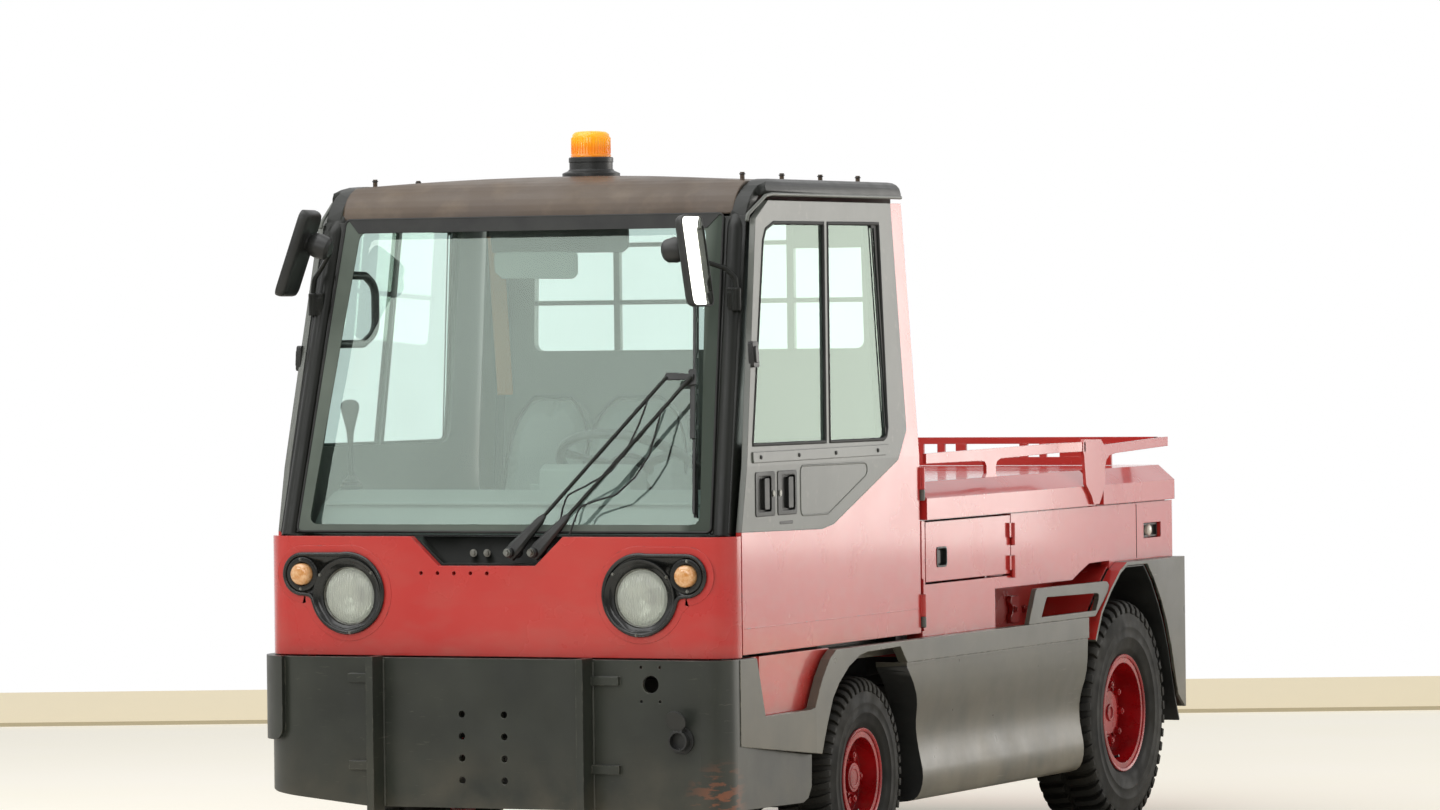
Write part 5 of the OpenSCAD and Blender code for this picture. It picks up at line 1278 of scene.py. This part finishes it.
def cabTrim():
    t = trimLook
    near, far = t["gutterX"]
    gutters, studs = [], []
    for side in (1, -1):
        gutters.append(([place(side * (far if y > 330 else near), y, z) for y, z in t["gutter"]], False))
        studs += [(place(side * t["studX"], y, t["studZ"]), (0, 0, 1)) for y in t["studs"]]
    tubeAlong("drip_rails", gutters, 5, 14, "sash_grey")
    boltsAt("roof_studs", studs, {"radius": 5, "height": 5, "sides": 14, "top": 0.55, "washer": 8},
            "black_plastic")
    recess = [(place(x, t["cowlY"], t["cowlZ"]), (0, -1, 0)) for x in t["cowlBolts"]]
    boltsAt("cowl_bolts", recess, {"radius": 7, "height": 6, "washer": 10}, "steel")
    bm = bmesh.new()
    header = [(-168, 1718), (230, 1714), (230, 1662), (214, 1648), (-160, 1650)]
    visor = [(-152, 1654), (88, 1652), (88, 1594), (74, 1581), (-128, 1584), (-150, 1602)]
    prism(bm, roundCorners(visor, 14, 3), 334, 341, frontPoint)
    piece(bm, "sun_visor", "dash_plastic", edge=(1.5, 1))
    bm = bmesh.new()
    prism(bm, roundCorners(header, 10, 3), 342, 352, frontPoint)
    piece(bm, "head_lining_edge", "black_plastic", edge=(1.5, 1), slot="dash_plastic")
    bm = bmesh.new()
    belt = [Vector(p) for p in t["belt"]]
    wide = Vector((t["beltHalf"], 0, 0))
    for a, b in zip(belt, belt[1:]):
        ends = [a - wide, a + wide, b + wide, b - wide]
        quad = [place(*(p + Vector((0, deep, 0)))) for deep in (0, t["beltThick"]) for p in ends]
        verts = [bm.verts.new(q) for q in quad]
        for face in ((0, 1, 2, 3), (7, 6, 5, 4), (0, 4, 5, 1), (1, 5, 6, 2), (2, 6, 7, 3), (3, 7, 4, 0)):
            bm.faces.new([verts[i] for i in face])
    piece(bm, "belt_strap", "webbing")


cabTrim()
print("cab trim made")


# cab interior

bulkheadLook = {"left": -470, "right": 514, "low": 1390, "high": 1724, "bars": ((-229, -210), (287, 308)),
                "rails": ((-470, 514, 1514, 1527), (-219, 296, 1671, 1683), (296, 514, 1660, 1724)),
                "corner": 26}


def rearBulkhead():   # rear wall of the cab, its barred window, and the lower hinge halves
    b = bulkheadLook
    bm = bmesh.new()
    prism(bm, box(-618, 606, 618, 1100), 1216, 1246, frontPoint)
    opening = [(b["left"], b["low"]), (b["right"], b["low"]), (b["right"] - 8, b["high"]),
               (b["left"] + 8, b["high"])]
    frameRing(bm, roundCorners([(-618, 1100.2), (618, 1100.2), (582, 1788), (-582, 1788)], 4, 6),
              roundCorners(opening, b["corner"], 6), 1216, 1246, frontPoint)
    for low, high in b["bars"]:
        block(bm, (low, 1220, b["low"] - 3), (high, 1240, b["high"] + 3))
    for left, right, low, high in b["rails"]:
        block(bm, (left, 1221, low), (right, 1239, high))
    for side in (1, -1):
        for z in (700, 1040):
            block(bm, (578, 1246, z - 60), (664, 1254, z - 30.3), lambda x, y, up: place(side * x, y, up))
            lathe(bm, box(0, z - 60, 7, z - 30.3), 20,
                  lambda a, c, w: place(side * (664 + a), 1252 + c, w))
    piece(bm, "rear_bulkhead", "sash_grey", edge=(3, 2), angle=40, stands=("rear_wall",))
    bm = bmesh.new()
    block(bm, (b["left"] - 4, 1228, b["low"] - 4), (b["right"] + 4, 1233, b["high"] + 4))
    piece(bm, "rear_panes", "glass", stands=("rear_window",))


rearBulkhead()
print("rear window made")


cabLook = {"hood": ((232, 1035), (236, 1090), (262, 1104), (330, 1082), (338, 1034)), "hoodX": (20, 280),
           "shelf": ((150, 1000), (232, 1033), (232, 1040), (150, 1008)), "shelfHalf": 560,
           "dials": ((70, 24), (150, 34), (230, 24)), "dialY": 338, "dialZ": 1060, "dialLean": 0.05,
           "pedals": (250, 330, 60), "pedalLean": 0.35, "stemLean": 0.12, "pedalLow": 690,
           "handWheel": (150, 520, 1085), "wheelTilt": -30, "lever": (-541, 262, 1034),
           "boot": (-540, 262, 1030), "gripX": -592,
           "grip": ((284, 1600), (455, 1598), (512, 1570), (512, 1450), (440, 1418), (240, 1419))}


def interior():
    c = cabLook
    acrossX = lambda y, z, x: place(x, y, z)
    bm = bmesh.new()
    prism(bm, c["hood"], *c["hoodX"], acrossX)
    prism(bm, c["shelf"], -c["shelfHalf"], c["shelfHalf"], acrossX)
    block(bm, (-40, 300, 1031), (-10, 322, 1052))
    piece(bm, "instrument_hood", "dash_plastic", edge=(8, 3))
    dials, bezels = bmesh.new(), bmesh.new()
    for x, r in c["dials"]:
        face = lambda a, h, w, x=x: place(x + a, c["dialY"] + h * c["dialLean"] + w, c["dialZ"] + h)
        lathe(dials, [(0, 0), (r, 0), (r, 1.5), (0, 1.5)], 32, face)
        lathe(bezels, [(r - 2, 0), (r + 4, 0), (r + 4, 4), (r + 1, 6), (r - 2, 4)], 32, face)
    piece(dials, "dial_faces", "dialWhite")
    piece(bezels, "dial_rings", "black_plastic")
    bm = bmesh.new()
    leaning = lambda lean: lambda x, y, z: place(x, y + (z - c["pedalLow"]) * lean, z)
    for x in c["pedals"]:   # accelerator, brake and parking pedals
        block(bm, (x - 26, 300, 690), (x + 26, 312, 760), leaning(c["pedalLean"]))
        block(bm, (x - 7, 296, 748), (x + 7, 306, 860), leaning(c["stemLean"]))
    piece(bm, "pedals", "black_plastic", edge=(3, 2))
    bm = bmesh.new()
    block(bm, (-575, 420, 605.4), (575, 775, 611))
    piece(bm, "floor_mat", "rubber", edge=(2, 1))
    turn = Matrix.Rotation(math.radians(c["wheelTilt"]), 3, "X")
    wheel = lambda a, b, w: place(*(Vector(c["handWheel"]) + turn @ Vector((a, b, w))))
    standing = lambda foot: lambda a, b, w: place(foot[0] + a, foot[1] + b, foot[2] + w)
    turned = (
        ("wheel_pad", "black_plastic", "hand_wheel", 50, (), 40, wheel,
         [(0, 26), (30, 25), (52, 20), (58, 12), (58, 9), (48, 9), (0, 9)]),
        ("floor_lever", "black_plastic", "body", 50, ("cab_controls",), 28, standing(c["lever"]),
         [(0, -2), (7, -2), (7, 118), (9, 150), (13, 170), (22, 205), (25, 218), (23, 230), (14, 238),
          (0, 240)]),
        ("lever_boot", "rubber", "body", 60, (), 28, standing(c["boot"]),
         [(0, 4), (34, 4), (36, 8), (27, 14), (30, 19), (21, 25), (24, 30), (14, 38), (9, 46), (0, 46)]))
    for name, look, body, angle, stands, segments, toPoint, profile in turned:
        bm = bmesh.new()
        lathe(bm, profile, segments, toPoint)
        piece(bm, name, look, body, angle=angle, stands=stands)
    grip = [place(c["gripX"], y, z) for y, z in c["grip"]]
    tubeAlong("grab_handle", [(grip, False)], 11, 46, "black_plastic", sides=16)


interior()
print("interior made")


# seats

seatLook = {"pressure": 4.0, "cap": 0.014, "voxel": 0.006,   # seats: node, centre, width, how far forward
            "seats": (("driver", ("seat_cushions",), -35, 330, 100), ("passenger", (), -343, 277, 0))}


def drawnIn(rise):   # the share of its width that a seat back keeps at a share of its height
    return math.sqrt(max(0.1, 1 - (0.93 * rise) ** 2.4))


def roundTop(mesh, centre, low, high):   # draws the sides of a seat back in towards its top
    for vert in mesh.vertices:
        rise = (vert.co.z * 1000 - low) / (high - low)
        if rise > 0:
            vert.co.x = (centre + (vert.co.x * 1000 - centre) * drawnIn(rise)) / 1000


def swell(obj, cap, top=None):   # fills a pad with air, as its foam fills the cover
    mesh = obj.data
    remesh = obj.modifiers.new("even", "REMESH")
    remesh.mode, remesh.voxel_size = "VOXEL", seatLook["voxel"]
    fine = evaluated(obj)
    obj.modifiers.remove(remesh)
    obj.data = fine
    bpy.data.meshes.remove(mesh)
    if top:
        roundTop(fine, *top)
    before = np.empty(len(fine.vertices) * 3)
    fine.vertices.foreach_get("co", before)
    cloth = obj.modifiers.new("cloth", "CLOTH")
    cloth.settings.use_pressure = True
    cloth.settings.uniform_pressure_force = seatLook["pressure"]
    cloth.settings.effector_weights.gravity = 0
    cloth.settings.quality = 5
    for step in range(1, 21):
        bpy.context.scene.frame_set(step)
    depsgraph = bpy.context.evaluated_depsgraph_get()
    after = np.empty(len(fine.vertices) * 3)
    puffed = obj.evaluated_get(depsgraph).to_mesh()
    puffed.vertices.foreach_get("co", after)
    obj.evaluated_get(depsgraph).to_mesh_clear()
    obj.modifiers.remove(cloth)
    bpy.context.scene.frame_set(1)
    move = (after - before).reshape(-1, 3)
    far = np.maximum(np.linalg.norm(move, axis=1, keepdims=True), 1e-9)
    kept = before.reshape(-1, 3) + move * np.minimum(1, cap / far)
    fine.vertices.foreach_set("co", kept.ravel())
    fine.polygons.foreach_set("use_smooth", [True] * len(fine.polygons))
    return obj


def cushion(name, outline, centre, wide, forward, stands=(), welt=None, top=None):
    bm = bmesh.new()
    half = wide / 2 - 10
    prism(bm, outline, centre - half, centre + half, lambda y, z, x: place(x, y - forward, z))
    pad = makeObject(bm, name)
    soften(pad, 18, 3)
    pad.data = evaluated(pad)
    pad.modifiers.clear()
    swell(pad, seatLook["cap"], top)
    dress(pad, "seat_vinyl", stands=stands)
    if top:   # one bead over the rounded top of the back
        low, high = top[1:]
        heights = [low + (high - low) * math.sin(math.pi / 2 * i / 24) for i in range(25)]
        arc = [((half - 4) * drawnIn((z - low) / (high - low)), z) for z in heights]
        line = arc + [(-x, z) for x, z in arc[::-1]]
        beads = [([place(centre + x, 1011 - forward + (z - 985) * 0.2, z) for x, z in line], False)]
    else:
        beads = [([place(centre + s * (half - 4), y - forward, z) for y, z in welt], True) for s in (-1, 1)]
    tubeAlong(name + "_piping", beads, 4, 30, "rubber", sides=8, slot="seat_vinyl")


def seats():
    rails = bmesh.new()
    seat = [(712, 868), (712, 938), (745, 955), (1008, 940), (1010, 866)]
    welt = [(708, 880), (708, 940), (742, 960), (1010, 945), (1013, 880)]
    back = [(1046, 936), (1014, 985), (1068, 1250), (1090, 1266), (1114, 1266), (1122, 1250), (1100, 936)]
    for name, stands, centre, wide, forward in seatLook["seats"]:
        half = wide / 2
        block(rails, (centre - half + 40, 790 - forward, 815.5), (centre + half - 40, 1150 - forward, 856))
        block(rails, (centre - half + 60, 1134 - forward, 855), (centre + half - 60, 1146 - forward, 1115))
        cushion(f"seat_pad_{name}", seat, centre, wide, forward, stands, welt)
        cushion(f"seat_back_{name}", back, centre, wide, forward, top=(centre, 1060, 1266))
    piece(rails, "seat_rails", "black_paint", edge=(3, 2), stands=("seat_frames",))


seats()
print("seats made")


# rear body fittings

def rearFittings():
    bm = bmesh.new()
    frameRing(bm, roundedBox(1354, 797, 1426, 852, 13), roundedBox(1359, 802, 1421, 847, 10), 646.5, 662,
              sidePoint)
    prism(bm, roundedBox(1357, 800, 1423, 849, 10), 645.6, 647.4, sidePoint)
    prism(bm, roundedBox(1372, 806, 1394, 843, 5), 647, 655, sidePoint)
    piece(bm, "service_latch", "black_plastic", "service_door", edge=(1, 1))
    for side, name, toPoint in bothSides(sidePoint):
        bm = bmesh.new()
        frameRing(bm, roundedBox(2922, 822, 3058, 862, 6), roundedBox(2928, 828, 3052, 856, 5), 641, 650,
                  toPoint)
        prism(bm, roundedBox(2924, 824, 3056, 860, 5), 640.2, 642, toPoint)
        piece(bm, f"marker_housing_{name}", "black_plastic", edge=(1, 1))
        lens = lambda a, c, w: toPoint(2990 + a, 842 + c, 650 + w)
        bm = bmesh.new()
        lathe(bm, [(0, 7), (9, 6), (15, 3), (17.5, -1), (17.5, -8), (0, -8)], 36, lens)
        piece(bm, f"marker_lens_{name}", "markerWhite", angle=60)
        seam = [([toPoint(2861, z, 660.1) for z in (765, 921)], False)]
        tubeAlong(f"panel_seam_{name}", seam, 1.2, 0, "rubber", sides=6)
        bm = bmesh.new()
        hook = roundCorners([(2200, 606), (2262, 606), (2262, 626), (2282, 632), (2282, 648), (2262, 654),
                             (2262, 682), (2200, 682), (2200, 660), (2212, 652), (2212, 636),
                             (2200, 628)], 6, 2)
        prism(bm, hook, 520.2, 534, toPoint)
        prism(bm, roundedBox(2300, 632, 2350, 650, 6), 520.2, 556, toPoint)
        piece(bm, f"hook_plate_{name}", "paint_red", edge=(2, 1))
        hookBolts = [(toPoint(y, 644, 536), (side, 0, 0)) for y in (2228, 2300)]
        boltsAt(f"hook_bolts_{name}", hookBolts, {"radius": 7, "height": 7, "washer": 10}, "paint_red")
        arch = [(2428, 556), (2468, 632), (2543, 692), (2620, 744), (2680, 770), (2760, 776)]
        bm = bmesh.new()
        prism(bm, arch + [(y + 3, z - 3) for y, z in arch[::-1]], 521, 657, toPoint)
        piece(bm, f"arch_sheet_{name}", "paint_red", angle=50)
        bm = bmesh.new()
        for low, high in ((500, 560), (560, 610)):
            prism(bm, roundedBox(side * low, 784, side * high, 856, 8, 3),
                  3168, 3184, lambda x, z, y: place(x, z=z, y=y))
        piece(bm, f"tail_lens_{name}", "red_lens", edge=(3, 2))
    caps = [(place(x, y, 903), (0, 0, 1)) for x in np.linspace(-360, 360, 8)
            for y in np.linspace(1480, 2250, 5)]
    boltsAt("battery_caps", caps, {"radius": 22, "height": 14, "sides": 16, "washer": 30, "top": 0.8},
            "black_plastic")


rearFittings()
print("rear fittings made")


# bumper weld beads

weldLook = {"ribs": (-304, 290), "halfRib": 11, "y": -46, "z": (238, 612)}


def bumperWelds():
    w = weldLook
    sides = [x + s * w["halfRib"] for x in w["ribs"] for s in (-1, 1)]
    lines = [([place(x, w["y"], z) for z in w["z"]], False) for x in sides]
    tubeAlong("rib_welds", lines, 4, 0, "anthracite", sides=8)


bumperWelds()
print("bumper finished")


# load rack on the battery cover

rackLook = {"slots": ((-346, -304), (-282, -245), (-219, -130), (-87, -43), (-19, 16), (49, 219), (245, 282),
                      (304, 346)),
            "top": 1112, "slotHigh": 1092, "slotLow": 1053, "foot": 1029, "half": 650, "legs": 508,
            "y": (3058, 3068)}


def loadRack():   # two side rails that joggle out to a post, and the slotted cross rail between their ends
    r = rackLook
    bm = bmesh.new()
    front, back = r["y"]
    for side, name, toPoint in bothSides(sidePoint):
        rail = [(1290, 1078), (1290, 1105), (2252, 1111), (2252, 1084), (1822, 1079), (1796, 1072),
                (1786, 1056), (1786, 1040), (1798, 1029), (1706, 1029), (1718, 1040), (1718, 1062),
                (1706, 1073), (1680, 1076)]
        prism(bm, rail, 650, 660, toPoint)
        joggle = [(2252, 650), (2252, 660), (2400, 681.5), (2410, 681.5), (2410, 672.5), (2398, 672.5)]
        prism(bm, joggle, 1084, 1111, lambda y, x, z: toPoint(y, z, x))
        post = [(2398, 1119), (2533, 1116), (2545, 1106), (2559, 1099), (3070, 1112), (3070, 1085),
                (2650, 1074), (2600, 1069), (2572, 1056), (2562, 1034), (2562, 987), (2534, 952), (2514, 932),
                (2472, 932), (2452, 958), (2412, 990), (2398, 1075), (2390, 1084), (2390, 1110)]
        prism(bm, post, 672.5, 681.5, toPoint)
        block(bm, (642, front, 1086), (673, back, 1111), lambda x, y, z: place(side * x, y, z))
    high = lambda x, z, y: place(x, y, z)
    inner = r["legs"] + 14
    bar = [(r["half"], r["top"]), (r["half"], 1086), (inner, 1086), (inner, r["slotHigh"])]
    prism(bm, [(-x, z) for x, z in bar[1::-1]] + bar + [(-x, z) for x, z in bar[:1:-1]], front, back, high)
    edges = [-r["legs"]] + [x for slot in r["slots"] for x in slot] + [r["legs"]]
    for left, right in zip(edges[::2], edges[1::2]):
        prism(bm, roundedBox(left, r["slotLow"], right, r["slotHigh"] + 0.5, 0.5, 1), front, back, high)
    prism(bm, box(-r["legs"], r["foot"], r["legs"], r["slotLow"] + 0.5), front, back, high)
    piece(bm, "load_rack_rails", "paint_red", "deck_lid", edge=(2, 2), angle=40, stands=("load_rack",))


loadRack()
print("load rack made")
